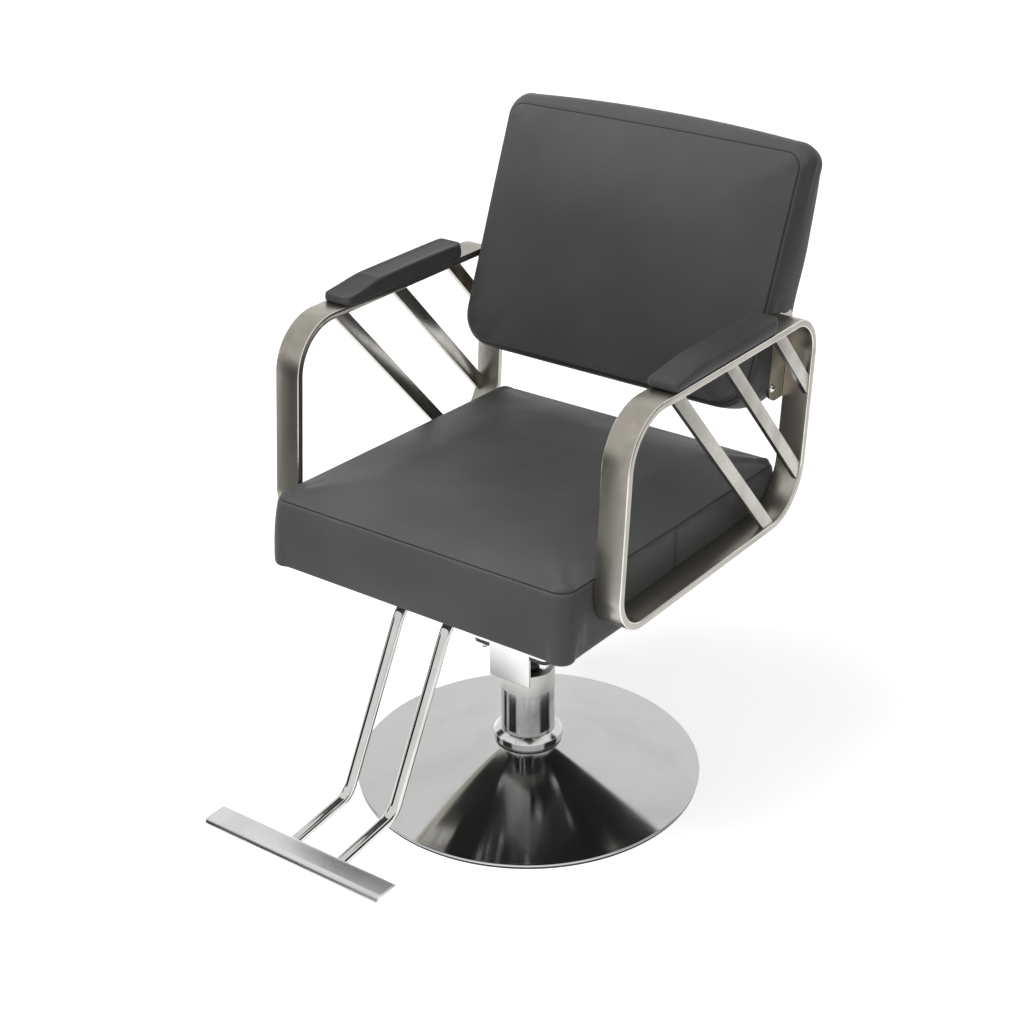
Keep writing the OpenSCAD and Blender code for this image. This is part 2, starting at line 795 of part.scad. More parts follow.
module ballast() {
    color("darkslategray")
        translate([0, 0, plate_t])
            difference() {
                cylinder(r = ballast_r, h = ballast_t);
                translate([0, 0, -overrun])
                    cylinder(r = ballast_hole_r, h = ballast_t + 2 * overrun);
            }
}

module base_dish() {
    mouth = shell_r + 2 * slip_gap;
    color("silver")
        rotate_extrude() {
            polygon([[base_r, rim_h], [neck_r, neck_h], [neck_r, neck_h - dish_t],
                [base_r, rim_h - dish_t]]);
            translate([base_r - rim_w, trim_h]) square([rim_w, rim_h - trim_h]);
            translate([mouth, neck_h - dish_t]) square([neck_r - mouth, dish_t]);
        }
}

module neck_ring() {
    color("silver")
        translate([0, 0, neck_h])
            difference() {
                cylinder(r = ring_r, h = ring_h);
                translate([0, 0, -overrun])
                    cylinder(r = shell_r + slip_gap, h = ring_h + 2 * overrun);
            }
}

module collar() {
    color("silver")
        translate([0, 0, ring_top])
            difference() {
                union() {
                    cylinder(r = collar_r, h = collar_h);
                    translate([0, 0, collar_h]) cylinder(r1 = collar_r, r2 = bevel_r, h = bevel_h);
                }
                translate([0, 0, -overrun])
                    cylinder(r = shell_r + run_gap, h = collar_h + bevel_h + 2 * overrun);
                translate([shell_r, 0, collar_screw_z])
                    rotate([0, 90, 0])
                        cylinder(r = collar_screw_r, h = collar_r - shell_r + overrun);
            }
}

module collar_screw() {
    reach = collar_r - shell_r - collar_screw_r / 2;
    color("dimgray")
        translate([shell_r, 0, ring_top + collar_screw_z])
            rotate([0, 90, 0])
                difference() {
                    cylinder(r = collar_screw_r - run_gap, h = reach);
                    translate([0, 0, reach - collar_socket_r])
                        cylinder(r = collar_socket_r, h = collar_socket_r + overrun, $fn = 6);
                }
}

// Column and pump

module pump_body() {
    color("darkslategray")
        difference() {
            union() {
                translate([0, 0, plate_t]) cylinder(r = foot_r, h = foot_t);
                translate([0, 0, foot_top]) cylinder(r = barrel_r, h = barrel_top - foot_top);
                on_lever_side()
                    translate([plunger_x, 0, boss_z])
                        cylinder(r = boss_r, h = barrel_top - boss_z);
            }
            translate([0, 0, bore_floor]) cylinder(r = bore_r, h = bush_z + overrun - bore_floor);
            translate([0, 0, bush_z]) cylinder(r = bush_r, h = bush_l + overrun);
            on_lever_side()
                translate([plunger_x, 0, boss_z - overrun])
                    cylinder(r = plunger_r + run_gap,
                        h = plunger_top - boss_z + plunger_free + overrun);
            foot_bolt_places()
                translate([0, 0, plate_t - overrun])
                    cylinder(r = large_r + run_gap, h = foot_t + 2 * overrun);
        }
}

module foot_bolts() {
    color("gray")
        foot_bolt_places()
            translate([0, 0, foot_top])
                hex_bolt(large_r, foot_t + foot_bolt_deep, large_af, large_head);
}

module guide_bush() {
    color("goldenrod")
        translate([0, 0, bush_z])
            difference() {
                cylinder(r = bush_r, h = bush_l);
                translate([0, 0, -overrun])
                    cylinder(r = ram_r + run_gap, h = bush_l + 2 * overrun);
            }
}

module column_shell() {
    color("silver")
        difference() {
            translate([0, 0, foot_top]) cylinder(r = shell_r, h = shell_top - foot_top);
            translate([0, 0, foot_top - overrun])
                cylinder(r = shell_r - shell_t, h = shell_top - foot_top + 2 * overrun);
            on_lever_side()
                translate([0, -slot_w / 2, pivot_z - slot_h / 2])
                    cube([shell_r + overrun, slot_w, slot_h]);
        }
}

module column_cap() {
    spigot_r = shell_r - shell_t - run_gap;
    color("gainsboro")
        difference() {
            union() {
                translate([0, 0, shell_top - spigot_l]) cylinder(r = spigot_r, h = spigot_l);
                translate([0, 0, shell_top])
                    cylinder(r = cap_r, h = cap_top - cap_chamfer - shell_top);
                translate([0, 0, cap_top - cap_chamfer])
                    cylinder(r1 = cap_r, r2 = cap_r - cap_chamfer, h = cap_chamfer);
            }
            translate([0, 0, shell_top - spigot_l - overrun])
                cylinder(r = cap_r - cap_wall,
                    h = cap_top - cap_roof_t - shell_top + spigot_l + overrun);
            on_lever_side()
                translate([plunger_x, 0, shell_top - spigot_l - overrun])
                    cylinder(r = boss_r + boss_relief,
                        h = cap_top - cap_roof_t - shell_top + spigot_l + overrun);
            translate([0, 0, shell_top])
                cylinder(r = wiper_r, h = cap_top - shell_top + overrun);
        }
}

module wiper_seal() {
    color("black")
        translate([0, 0, cap_top - cap_roof_t])
            difference() {
                cylinder(r = wiper_r, h = wiper_t);
                translate([0, 0, -overrun])
                    cylinder(r = ram_r + 2 * run_gap, h = wiper_t + 2 * overrun);
            }
}

module cheek_pin(r, half_l) {
    rotate([90, 0, 0])
        translate([0, 0, -half_l])
            cylinder(r = r, h = 2 * half_l);
}

module lever_bracket() {
    cheek_in = lever_boss_w / 2 + cheek_gap;
    cheek_l = pivot_x - shell_r + lever_boss_r;
    color("dimgray")
        on_lever_side()
            difference() {
                union() {
                    intersection() {
                        translate([0, 0, pivot_z - bracket_h / 2])
                            difference() {
                                cylinder(r = shell_r + saddle_t, h = bracket_h);
                                translate([0, 0, -overrun])
                                    cylinder(r = shell_r, h = bracket_h + 2 * overrun);
                            }
                        translate([0, -saddle_w / 2, pivot_z - bracket_h / 2])
                            cube([shell_r + saddle_t, saddle_w, bracket_h]);
                    }
                    for (side = [-1, 1])
                        translate([0, side * (cheek_in + cheek_t / 2), pivot_z])
                            difference() {
                                translate([shell_r, -cheek_t / 2, -bracket_h / 2])
                                    cube([cheek_l, cheek_t, bracket_h]);
                                translate([0, 0, -bracket_h])
                                    cylinder(r = shell_r + saddle_t / 2, h = 2 * bracket_h);
                            }
                }
                translate([0, -slot_w / 2, pivot_z - slot_h / 2])
                    cube([shell_r + saddle_t + overrun, slot_w, slot_h]);
                translate([pivot_x, 0, pivot_z])
                    cheek_pin(pin_r, cheek_in + cheek_t + overrun);
            }
}

module lever_pin() {
    half_l = lever_boss_w / 2 + cheek_gap + cheek_t;
    color("silver")
        on_lever_side()
            translate([pivot_x, 0, pivot_z]) {
                cheek_pin(pin_r, half_l + pin_head_t);
                for (side = [-1, 1])
                    translate([0, side * (half_l + pin_head_t / 2), 0])
                        cheek_pin(pin_head_r, pin_head_t / 2);
            }
}

module pump_lever() {
    color("dimgray")
        on_lever()
            difference() {
                union() {
                    translate([-lever_in, -lever_w / 2, -lever_t / 2])
                        cube([lever_in + lever_out, lever_w, lever_t]);
                    translate([-lever_in, 0, 0]) cheek_pin(nose_r, lever_w / 2);
                    cheek_pin(lever_boss_r, lever_boss_w / 2);
                    translate([lever_out - pedal_l / 2, 0, lever_t / 2])
                        linear_extrude(pedal_t)
                            rounded_plate(pedal_l / 2, pedal_w / 2, pedal_corner);
                }
                cheek_pin(pin_r + run_gap, lever_boss_w / 2 + overrun);
            }
}

module pedal_pad() {
    color("black")
        on_lever()
            translate([lever_out - pedal_l / 2, 0, lever_t / 2 + pedal_t])
                linear_extrude(pedal_pad_t)
                    rounded_plate(pedal_l / 2 + pedal_lip, pedal_w / 2 + pedal_lip,
                        pedal_corner + pedal_lip);
}

module pump_plunger() {
    color("silver")
        on_lever_side()
            translate([plunger_x, 0, plunger_z]) {
                cylinder(r = plunger_head_r, h = plunger_head_t);
                cylinder(r = plunger_r, h = plunger_top - plunger_z);
            }
}

function coil_spot(turn, rise, a) =
    [(spring_r + spring_wire_r * cos(a)) * cos(360 * turn),
        (spring_r + spring_wire_r * cos(a)) * sin(360 * turn),
        rise + spring_wire_r * sin(a)];

module plunger_spring() {
    foot = plunger_z + plunger_head_t + spring_wire_r;
    rise = boss_z - spring_wire_r - foot;
    steps = 14 * spring_turns;
    color("gray")
        on_lever_side()
            translate([plunger_x, 0, foot])
                ringed_solid(
                    [for (i = [0:steps]) [for (a = [0:60:300])
                        coil_spot(i / steps * spring_turns, rise * i / steps, -a)]],
                    [spring_r, 0, 0],
                    [spring_r, 0, rise]);
}

// Ram and swivel

module ram() {
    color("silver")
        difference() {
            translate([0, 0, ram_foot]) cylinder(r = ram_r, h = ram_top - ram_foot);
            translate([0, 0, ram_top - top_screw_l])
                cylinder(r = top_screw_r, h = top_screw_l + overrun);
        }
}

module ram_piston() {
    color("goldenrod")
        translate([0, 0, ram_foot])
            difference() {
                cylinder(r = bore_r - run_gap, h = piston_l);
                translate([0, 0, -overrun]) cylinder(r = ram_r, h = piston_l + 2 * overrun);
                translate([0, 0, (piston_l - seal_w) / 2])
                    difference() {
                        cylinder(r = bore_r + overrun, h = seal_w);
                        translate([0, 0, -overrun])
                            cylinder(r = bore_r - seal_depth, h = seal_w + 2 * overrun);
                    }
            }
}

module piston_seal() {
    color("black")
        translate([0, 0, ram_foot + (piston_l - seal_w) / 2])
            difference() {
                cylinder(r = bore_r - run_gap / 2, h = seal_w);
                translate([0, 0, -overrun])
                    cylinder(r = bore_r - seal_depth, h = seal_w + 2 * overrun);
            }
}

module thrust_collar() {
    color("silver")
        translate([0, 0, thrust_z])
            difference() {
                cylinder(r = thrust_r, h = thrust_t);
                translate([0, 0, -overrun]) cylinder(r = ram_r, h = thrust_t + 2 * overrun);
            }
}

module thrust_washer() {
    color("goldenrod")
        translate([0, 0, thrust_z + thrust_t])
            difference() {
                cylinder(r = (thrust_r + hub_r) / 2, h = washer_t);
                translate([0, 0, -overrun])
                    cylinder(r = ram_r + run_gap, h = washer_t + 2 * overrun);
            }
}

module top_washer() {
    color("silver")
        translate([0, 0, ram_top])
            difference() {
                cylinder(r = top_washer_r, h = top_washer_t);
                translate([0, 0, -overrun])
                    cylinder(r = top_screw_r, h = top_washer_t + 2 * overrun);
            }
}

module top_screw() {
    color("gray")
        translate([0, 0, ram_top + top_washer_t])
            hex_bolt(top_screw_r, top_screw_l + top_washer_t, top_screw_af, top_screw_h);
}

module swivel_hub() {
    color("gainsboro")
        translate([0, 0, hub_foot])
            difference() {
                cylinder(r = hub_r, h = hub_top - hub_foot);
                translate([0, 0, -overrun])
                    cylinder(r = ram_r + run_gap, h = hub_top - hub_foot + 2 * overrun);
            }
}

module flange_bolt_places() {
    for (x = [-1, 1])
        for (y = [-1, 1])
            translate([x * flange_bolt_x, y * flange_bolt_y, 0]) children();
}

module flange_shape(notch_gap) {
    difference() {
        rounded_plate(flange_w / 2, flange_d / 2, flange_corner);
        circle(r = hub_r);
        translate([-box_w / 2 - notch_gap, -flange_d])
            square([box_w + 2 * notch_gap, flange_d - box_y + box_t + notch_gap]);
        flange_bolt_places() circle(r = large_r + run_gap);
    }
}

module hub_plate() {
    color("gray")
        translate([0, 0, hub_plate_z]) linear_extrude(hub_plate_t) flange_shape(slip_gap);
}

// Everything above the underside of the mount plate
module above_pedestal() {
    on_seat()
        translate([-mount_w / 2, -mount_front, -mount_t])
            cube([mount_w, mount_front + mount_back, board_z]);
}

module pedestal() {
    box_in = box_y - box_t;
    tall = board_z - flange_top;
    color("white")
        difference() {
            union() {
                translate([0, 0, flange_z]) linear_extrude(flange_t) flange_shape(0);
                translate([-box_w / 2, box_in, flange_top]) cube([box_w, box_t, tall]);
                for (side = [-1, 1])
                    translate([side * (box_w - box_t) / 2 - box_t / 2, -box_in, flange_top])
                        cube([box_t, 2 * box_in, tall]);
            }
            above_pedestal();
        }
}

module front_plate() {
    color("white")
        difference() {
            translate([-box_w / 2, -box_y, skirt_z]) cube([box_w, box_t, board_z - skirt_z]);
            above_pedestal();
        }
}

module flange_bolts() {
    color("gray")
        flange_bolt_places() {
            translate([0, 0, flange_top])
                hex_bolt(large_r, flange_t + hub_plate_t + nut_h + thread_out, large_af, large_head);
            translate([0, 0, hub_plate_z - nut_h])
                cylinder(r = large_af / sqrt(3), h = nut_h, $fn = 6);
        }
}

module mount_bolt_places() {
    for (x = [-1, 1])
        for (y = [mount_bolt_inset - mount_front, mount_back - mount_bolt_inset])
            translate([x * (mount_w / 2 - mount_bolt_inset), y, 0]) children();
}

module clamp_places() {
    mid = clamp_l / 2 + mount_bolt_inset / 2 - mount_front;
    for (side = [-1, 1])
        translate([side * tube_x, mid, 0]) children();
}

module clamp_bolt_places() {
    clamp_places()
        for (side = [-1, 1])
            translate([side * clamp_bolt_x, 0, 0]) children();
}

module mount_plate() {
    color("dimgray")
        on_seat()
            difference() {
                translate([0, (mount_back - mount_front) / 2, -mount_t])
                    linear_extrude(mount_t)
                        rounded_plate(mount_w / 2, (mount_front + mount_back) / 2, mount_corner);
                mount_bolt_places()
                    translate([0, 0, -mount_t - overrun])
                        cylinder(r = large_r + run_gap, h = mount_t + 2 * overrun);
                clamp_bolt_places()
                    translate([0, 0, -mount_t - overrun])
                        cylinder(r = small_r, h = mount_t + 2 * overrun);
            }
}

module mount_bolts() {
    color("gray")
        on_seat()
            mount_bolt_places()
                translate([0, 0, -mount_t])
                    rotate([180, 0, 0])
                        hex_bolt(large_r, mount_t + board_t - soft_gap, large_af, large_head);
}

// Footrest

module foot_tube() {
    screw_h = bar_t + 2 * tube_r;
    difference() {
        side_view()
            for (i = [0:2])
                straight_piece(tube_line, tube_bends, i, bend_lap) tube_section(0);
        on_toe()
            translate([tube_x, bar_screw_at, -tube_r - overrun])
                cylinder(r = small_r + run_gap, h = screw_h);
        on_toe()
            translate([tube_x, bar_screw_at, -tube_r - overrun])
                cylinder(r = foot_head_r + slip_gap, h = overrun + tube_wall / 2);
    }
    side_view()
        for (i = [1:2])
            bend_piece(tube_line, tube_bends, i) tube_section(bend_swell);
}

module tube_section(swell) {
    translate([0, tube_x])
        difference() {
            circle(r = tube_r + swell);
            circle(r = tube_r - tube_wall - swell);
        }
}

module foot_tube_r() {
    color("silver") foot_tube();
}

module foot_tube_l() {
    color("silver") mirror([1, 0, 0]) foot_tube();
}

module tube_clamps() {
    color("dimgray")
        on_seat()
            clamp_places()
                difference() {
                    translate([-clamp_w / 2, -clamp_l / 2, -mount_t - clamp_h])
                        cube([clamp_w, clamp_l, clamp_h]);
                    translate([0, clamp_l, -tube_h])
                        rotate([90, 0, 0])
                            cylinder(r = tube_r + run_gap, h = 2 * clamp_l);
                    for (side = [-1, 1])
                        translate([side * clamp_bolt_x, 0, -mount_t - clamp_h - overrun])
                            cylinder(r = small_r + run_gap, h = clamp_h + 2 * overrun);
                }
}

module clamp_bolts() {
    color("gray")
        on_seat()
            clamp_bolt_places()
                translate([0, 0, -mount_t - clamp_h])
                    rotate([180, 0, 0])
                        hex_bolt(small_r, clamp_h + mount_t, small_af, small_head);
}

module bar_section() {
    rounded_plate(bar_d / 2, bar_t / 2, bar_edge_r);
}

module foot_bar() {
    color("lightgray")
        difference() {
            on_bar()
                translate([-bar_half, 0, 0])
                    rotate([90, 0, 90])
                        linear_extrude(2 * bar_half) bar_section();
            on_toe()
                both_sides()
                    translate([tube_x, bar_at - bar_d, 0])
                        rotate([-90, 0, 0]) cylinder(r = tube_r, h = 2 * bar_d);
            on_toe()
                both_sides()
                    translate([tube_x, bar_screw_at, 0])
                        cylinder(r = small_r, h = tube_r + bar_t - bar_seat - tube_wall * 2);
        }
}

module bar_caps() {
    color("gray")
        on_bar()
            both_sides()
                translate([bar_half, 0, 0])
                    rotate([90, 0, 90])
                        linear_extrude(bar_cap_t) bar_section();
}

module foot_screws() {
    head_z = tube_wall / 2 - tube_r;
    color("gray")
        on_toe()
            both_sides()
                translate([tube_x, bar_screw_at, head_z])
                    rotate([180, 0, 0])
                        dome_bolt(small_r, bar_t + tube_r - head_z - bar_seat - tube_wall * 3,
                            foot_head_r, foot_head_h);
}

module tube_plugs() {
    color("black") {
        on_toe()
            both_sides()
                translate([tube_x, toe_l, 0])
                    rotate([-90, 0, 0]) {
                        cylinder(r = tube_r, h = plug_head);
                        translate([0, 0, -plug_l / 2])
                            cylinder(r = tube_r - tube_wall, h = plug_l / 2);
                    }
        on_seat()
            both_sides()
                translate([tube_x, -tube_end, -tube_h])
                    rotate([-90, 0, 0]) {
                        cylinder(r = tube_r, h = plug_head);
                        translate([0, 0, -plug_l])
                            cylinder(r = tube_r - tube_wall, h = plug_l);
                    }
    }
}

// Seat

module seat_board() {
    half_w = seat_half_w - board_margin - soft_gap;
    half_d = seat_half_d - board_margin - soft_gap;
    color("burlywood")
        on_seat()
            difference() {
                translate([0, seat_mid, 0])
                    linear_extrude(board_t - soft_gap)
                        rounded_plate(half_w, half_d, seat_corner - board_margin + overrun);
                mount_bolt_places()
                    translate([0, 0, -overrun])
                        cylinder(r = large_r, h = board_t + 2 * overrun);
                arm_bolt_places()
                    translate([0, 0, -overrun])
                        cylinder(r = large_r, h = board_t + 2 * overrun);
            }
}

function seat_spot_ring(plan, draw, side, crown) =
    let (inset = draw * seat_draw, r = seat_corner * plan)
    [for (q = soft_ring(seat_half_w * plan - inset, seat_half_d * plan - inset, [r, r, r, r]))
        [q[0], q[1] + seat_mid, side * seat_side + crown * seat_crown]];
function seat_pocket_ring(z) =
    let (r = seat_corner - board_margin)
    [for (q = soft_ring(seat_half_w - board_margin, seat_half_d - board_margin, [r, r, r, r]))
        [q[0], q[1] + seat_mid, z]];

module seat_cushion() {
    color("dimgray")
        on_seat()
            ringed_solid(
                concat([seat_pocket_ring(board_t), seat_pocket_ring(0)],
                    [for (s = seat_ring_shares) seat_spot_ring(s[0], s[1], s[2], s[3])]),
                [0, seat_mid, board_t],
                [0, seat_mid, seat_side + seat_crown]);
}

// Arms

module pad_screw_places() {
    for (y = [-1, 1])
        translate([band_x + band_w / 2, y * pad_screw_y, 0]) children();
}

// The place of an arm pad on top of its band
module on_band() {
    drop = (pad_y - loop_high_front[0]) * tan(loop_fall);
    translate([0, pad_y, loop_high_front[1] - drop]) rotate([-loop_fall, 0, 0]) children();
}

module arm_loop() {
    difference() {
        side_view()
            translate([0, 0, band_x])
                linear_extrude(band_w)
                    difference() {
                        loop_outline(0);
                        loop_outline(band_t);
                    }
        on_band()
            pad_screw_places()
                translate([0, 0, -band_t - overrun])
                    cylinder(r = pad_screw_r + run_gap, h = band_t + 2 * overrun);
    }
}

module arm_loop_r() {
    color("tan") arm_loop();
}

module arm_loop_l() {
    color("tan") mirror([1, 0, 0]) arm_loop();
}

module arm_slats() {
    low = band_x + band_w - slat_inset - slat_t;
    intersection() {
        side_view()
            translate([0, 0, low]) linear_extrude(slat_t) loop_outline(band_t);
        side_view()
            for (i = [0:slat_count - 1])
                translate([slat_y + i * slat_pitch, slat_z, low - overrun])
                    rotate([0, 0, -slat_slope])
                        translate([-loop_h, -slat_w / 2, 0])
                            cube([3 * loop_h, slat_w, slat_t + 2 * overrun]);
    }
}

module arm_slats_r() {
    color("tan") arm_slats();
}

module arm_slats_l() {
    color("tan") mirror([1, 0, 0]) arm_slats();
}

module arm_bolt_places() {
    both_sides()
        for (y = [-1, 1])
            for (i = [0, 1])
                translate([band_x - tab_bolt - i * tab_bolt_pitch, y * tab_y, 0]) children();
}

module arm_tabs() {
    color("tan")
        both_sides()
            difference() {
                on_seat()
                    for (y = [-1, 1])
                        translate([0, y * tab_y - tab_w / 2, -tab_t]) {
                            translate([band_x, 0, 0]) cube([tab_t, tab_w, board_z / 2]);
                            translate([band_x - tab_reach, 0, 0])
                                cube([tab_reach + tab_t, tab_w, tab_t]);
                        }
                side_view() translate([0, 0, band_x - tab_reach])
                    linear_extrude(tab_reach + band_w) loop_outline(0);
                translate([0, -loop_l, loop_z + loop_h / 8])
                    cube([band_x + band_w, 2 * loop_l, board_z]);
                on_seat()
                    arm_bolt_places()
                        translate([0, 0, -tab_t - overrun])
                            cylinder(r = large_r + run_gap, h = tab_t + 2 * overrun);
            }
}

module arm_bolts() {
    color("gray")
        on_seat()
            arm_bolt_places()
                translate([0, 0, -tab_t])
                    rotate([180, 0, 0])
                        hex_bolt(large_r, tab_t + board_t - soft_gap, large_af, large_head);
}

// Arm pads

function pad_deep(y) =
    pad_front_t + (pad_back_t - pad_front_t) * min(1, (y + pad_half_l + overrun) / pad_ramp);
function pad_spot_ring(plan, draw, side, crown) =
    let (inset = draw * pad_swell, r = pad_corner * plan,
        a = pad_half_w * plan - inset, b = pad_half_l - pad_half_w * (1 - plan) - inset)
    [for (q = soft_ring(a, b, [r, r, r, r]))
        [q[0] + pad_x, q[1], side * pad_deep(q[1]) + crown * pad_crown]];
function pad_pocket_ring(z) =
    let (r = pad_corner - pad_margin)
    [for (q = soft_ring(pad_half_w - pad_margin, pad_half_l - pad_margin, [r, r, r, r]))
        [q[0] + pad_x, q[1], z]];

module arm_pad() {
    on_band()
        ringed_solid(
            concat([pad_pocket_ring(pad_board_t + soft_gap), pad_pocket_ring(0)],
                [for (s = pad_ring_shares) pad_spot_ring(s[0], s[1], s[2], s[3])]),
            [pad_x, 0, pad_board_t + soft_gap],
            [pad_x, 0, pad_deep(0) + pad_crown]);
}

module arm_pad_r() {
    color("dimgray") arm_pad();
}

module arm_pad_l() {
    color("dimgray") mirror([1, 0, 0]) arm_pad();
}

module pad_boards() {
    color("burlywood")
        both_sides()
            on_band()
                difference() {
                    translate([pad_x, 0, 0])
                        linear_extrude(pad_board_t)
                            rounded_plate(pad_half_w - pad_margin - soft_gap,
                                pad_half_l - pad_margin - soft_gap, pad_corner - pad_margin);
                    pad_screw_places()
                        translate([0, 0, -overrun])
                            cylinder(r = pad_screw_r, h = pad_board_t + 2 * overrun);
                }
}

module pad_screws() {
    color("gray")
        both_sides()
            on_band()
                pad_screw_places()
                    translate([0, 0, -band_t])
                        rotate([180, 0, 0])
                            dome_bolt(pad_screw_r, band_t + pad_board_t,
                                pad_screw_head_r, pad_screw_head_h);
}

// Back

function bracket_corners(grow) = let(
    a = [bracket_y - grow, bracket_z - grow],
    b = a + [bracket_w + 2 * grow, 0],
    up = [bracket_tall * tan(loop_tilt), bracket_tall + 2 * grow])
    [a, b, b + up, a + up];

module bracket_outline() {
    rounded_outline(bracket_corners(0),
        [bracket_front_r, bracket_rear_r, bracket_front_r, bracket_front_r]);
}

module back_bracket() {
    difference() {
        side_view()
            translate([0, 0, band_x - plate_bracket_t])
                linear_extrude(plate_bracket_t) bracket_outline();
        bracket_bolt_places()
            translate([0, 0, -bracket_bolt_l])
                cylinder(r = small_r + run_gap, h = bracket_bolt_l + overrun);
    }
}

module bracket_bolt_places() {
    for (i = [0, 1])
        translate([band_x, bracket_bolt_y + i * bracket_bolt_step,
            bracket_bolt_z + i * bracket_bolt_rise])
            rotate([0, 90, 0]) children();
}

module back_bracket_r() {
    color("tan") back_bracket();
}

module back_bracket_l() {
    color("tan") mirror([1, 0, 0]) back_bracket();
}

module bracket_bolts() {
    color("silver")
        both_sides()
            bracket_bolt_places() dome_bolt(small_r, bracket_bolt_l, dome_r, dome_h);
}

// Standing plate on the rear face, from its outer plane forward
module rear_plate(half_w, low, high, r, t) {
    translate([0, 0, (low + high) / 2])
        rotate([90, 0, 0])
            linear_extrude(t) rounded_plate(half_w, (high - low) / 2, r);
}

module back_cover() {
    color("dimgray")
        on_back_rear()
            rear_plate(frame_half_w, frame_low, frame_high, frame_corner, cover_t);
}

module back_frame() {
    low = frame_low + rail_w;
    high = frame_high - rail_w;
    color("burlywood")
        difference() {
            on_back_rear()
                translate([0, -cover_t, 0])
                    rear_plate(frame_half_w, frame_low, frame_high, frame_corner, frame_d);
            on_back_rear()
                translate([0, overrun, 0])
                    rear_plate(frame_half_w - rail_w, low, high, frame_corner / 2,
                        frame_d + cover_t + 2 * overrun);
            both_sides()
                bracket_bolt_places()
                    translate([0, 0, -bracket_bolt_l])
                        cylinder(r = small_r, h = bracket_bolt_l);
        }
}

function wedge_at(v) = back_deep - wedge_rate * v;
function back_spot_ring(plan, draw, depth, crown, foot, head, arch) =
    let (inset = draw * back_draw,
        low = foot * back_foot + inset,
        high = back_h + head * back_head - inset,
        a = back_half_w * plan - inset,
        b = (high - low) / 2 * plan,
        r = back_corner * plan,
        s = back_low_corner * plan)
    [for (q = soft_ring(a, b, [r, r, s, s]))
        let (lift = arch * back_arch * (1 - pow(q[0] / a, 2)) * pow(max(0, q[1] / b), 6),
            v = (low + high) / 2 + q[1] + lift)
        [q[0], depth * wedge_at(v) - crown * back_crown, v]];
function back_pocket_ring(depth) =
    let (low = back_foot + frame_margin,
        high = back_h + back_head / 2 - frame_margin,
        r = back_corner - frame_margin)
    [for (q = soft_ring(back_half_w - frame_margin, (high - low) / 2, [r, r, r, r]))
        let (v = (low + high) / 2 + q[1])
        [q[0], wedge_at(v) - depth / cos(wedge_angle), v]];

module back_cushion() {
    pocket = frame_d + cover_t + soft_gap;
    mid = (back_foot + back_h) / 2;
    color("dimgray")
        difference() {
            on_back()
                ringed_solid(
                    concat([back_pocket_ring(pocket), back_pocket_ring(0)],
                        [for (s = back_ring_shares)
                            back_spot_ring(s[0], s[1], s[2], s[3], s[4], s[5], s[6])]),
                    [0, wedge_at(mid) - pocket / cos(wedge_angle), mid],
                    [0, -back_crown, mid]);
            both_sides()
                side_view()
                    translate([0, 0, band_x - plate_bracket_t - soft_gap])
                        linear_extrude(band_w) polygon(bracket_corners(slip_gap));
            both_sides()
                bracket_bolt_places()
                    translate([0, 0, -bracket_bolt_l])
                        cylinder(r = small_r + soft_gap, h = bracket_bolt_l, $fn = 24);
        }
}

floor_trim();
floor_plate();
ballast();
base_dish();
neck_ring();
collar();
collar_screw();
pump_body();
foot_bolts();
guide_bush();
column_shell();
column_cap();
wiper_seal();
lever_bracket();
lever_pin();
plunger_spring();
pump_lever();
pedal_pad();
pump_plunger();
ram();
ram_piston();
piston_seal();
thrust_collar();
thrust_washer();
top_washer();
top_screw();
swivel_hub();
hub_plate();
pedestal();
front_plate();
flange_bolts();
mount_plate();
mount_bolts();
seat_board();
seat_cushion();
foot_tube_l();
foot_tube_r();
tube_clamps();
clamp_bolts();
foot_bar();
bar_caps();
foot_screws();
tube_plugs();
arm_loop_l();
arm_loop_r();
arm_slats_l();
arm_slats_r();
arm_tabs();
arm_bolts();
pad_boards();
pad_screws();
arm_pad_l();
arm_pad_r();
back_bracket_l();
back_bracket_r();
bracket_bolts();
back_frame();
back_cover();
back_cushion();
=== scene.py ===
import math

import bmesh
import bpy
from mathutils import Matrix, Vector


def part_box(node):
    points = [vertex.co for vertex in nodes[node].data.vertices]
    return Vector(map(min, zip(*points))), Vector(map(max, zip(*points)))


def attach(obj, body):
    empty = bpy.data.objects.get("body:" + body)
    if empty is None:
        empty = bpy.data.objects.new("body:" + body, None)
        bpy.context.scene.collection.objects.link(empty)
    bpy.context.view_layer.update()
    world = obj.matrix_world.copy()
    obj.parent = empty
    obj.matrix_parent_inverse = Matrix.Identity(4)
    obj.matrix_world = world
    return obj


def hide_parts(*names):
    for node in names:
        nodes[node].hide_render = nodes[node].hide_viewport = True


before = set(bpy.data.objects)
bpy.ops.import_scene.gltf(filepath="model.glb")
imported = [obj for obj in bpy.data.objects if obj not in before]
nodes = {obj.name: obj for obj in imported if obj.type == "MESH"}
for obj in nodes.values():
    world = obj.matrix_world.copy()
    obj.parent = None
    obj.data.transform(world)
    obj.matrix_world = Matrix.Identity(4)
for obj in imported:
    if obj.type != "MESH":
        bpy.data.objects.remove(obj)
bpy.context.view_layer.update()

# ---------------------------------------------------------------------------------------------
# Camera
# It stands to the right of the chair's front, above the seat, and looks down at it through a
# medium long lens, as the photographer did.


def placed(name, data):
    """Puts an object with this data in the scene."""
    thing = bpy.data.objects.new(name, data)
    bpy.context.scene.collection.objects.link(thing)
    return thing


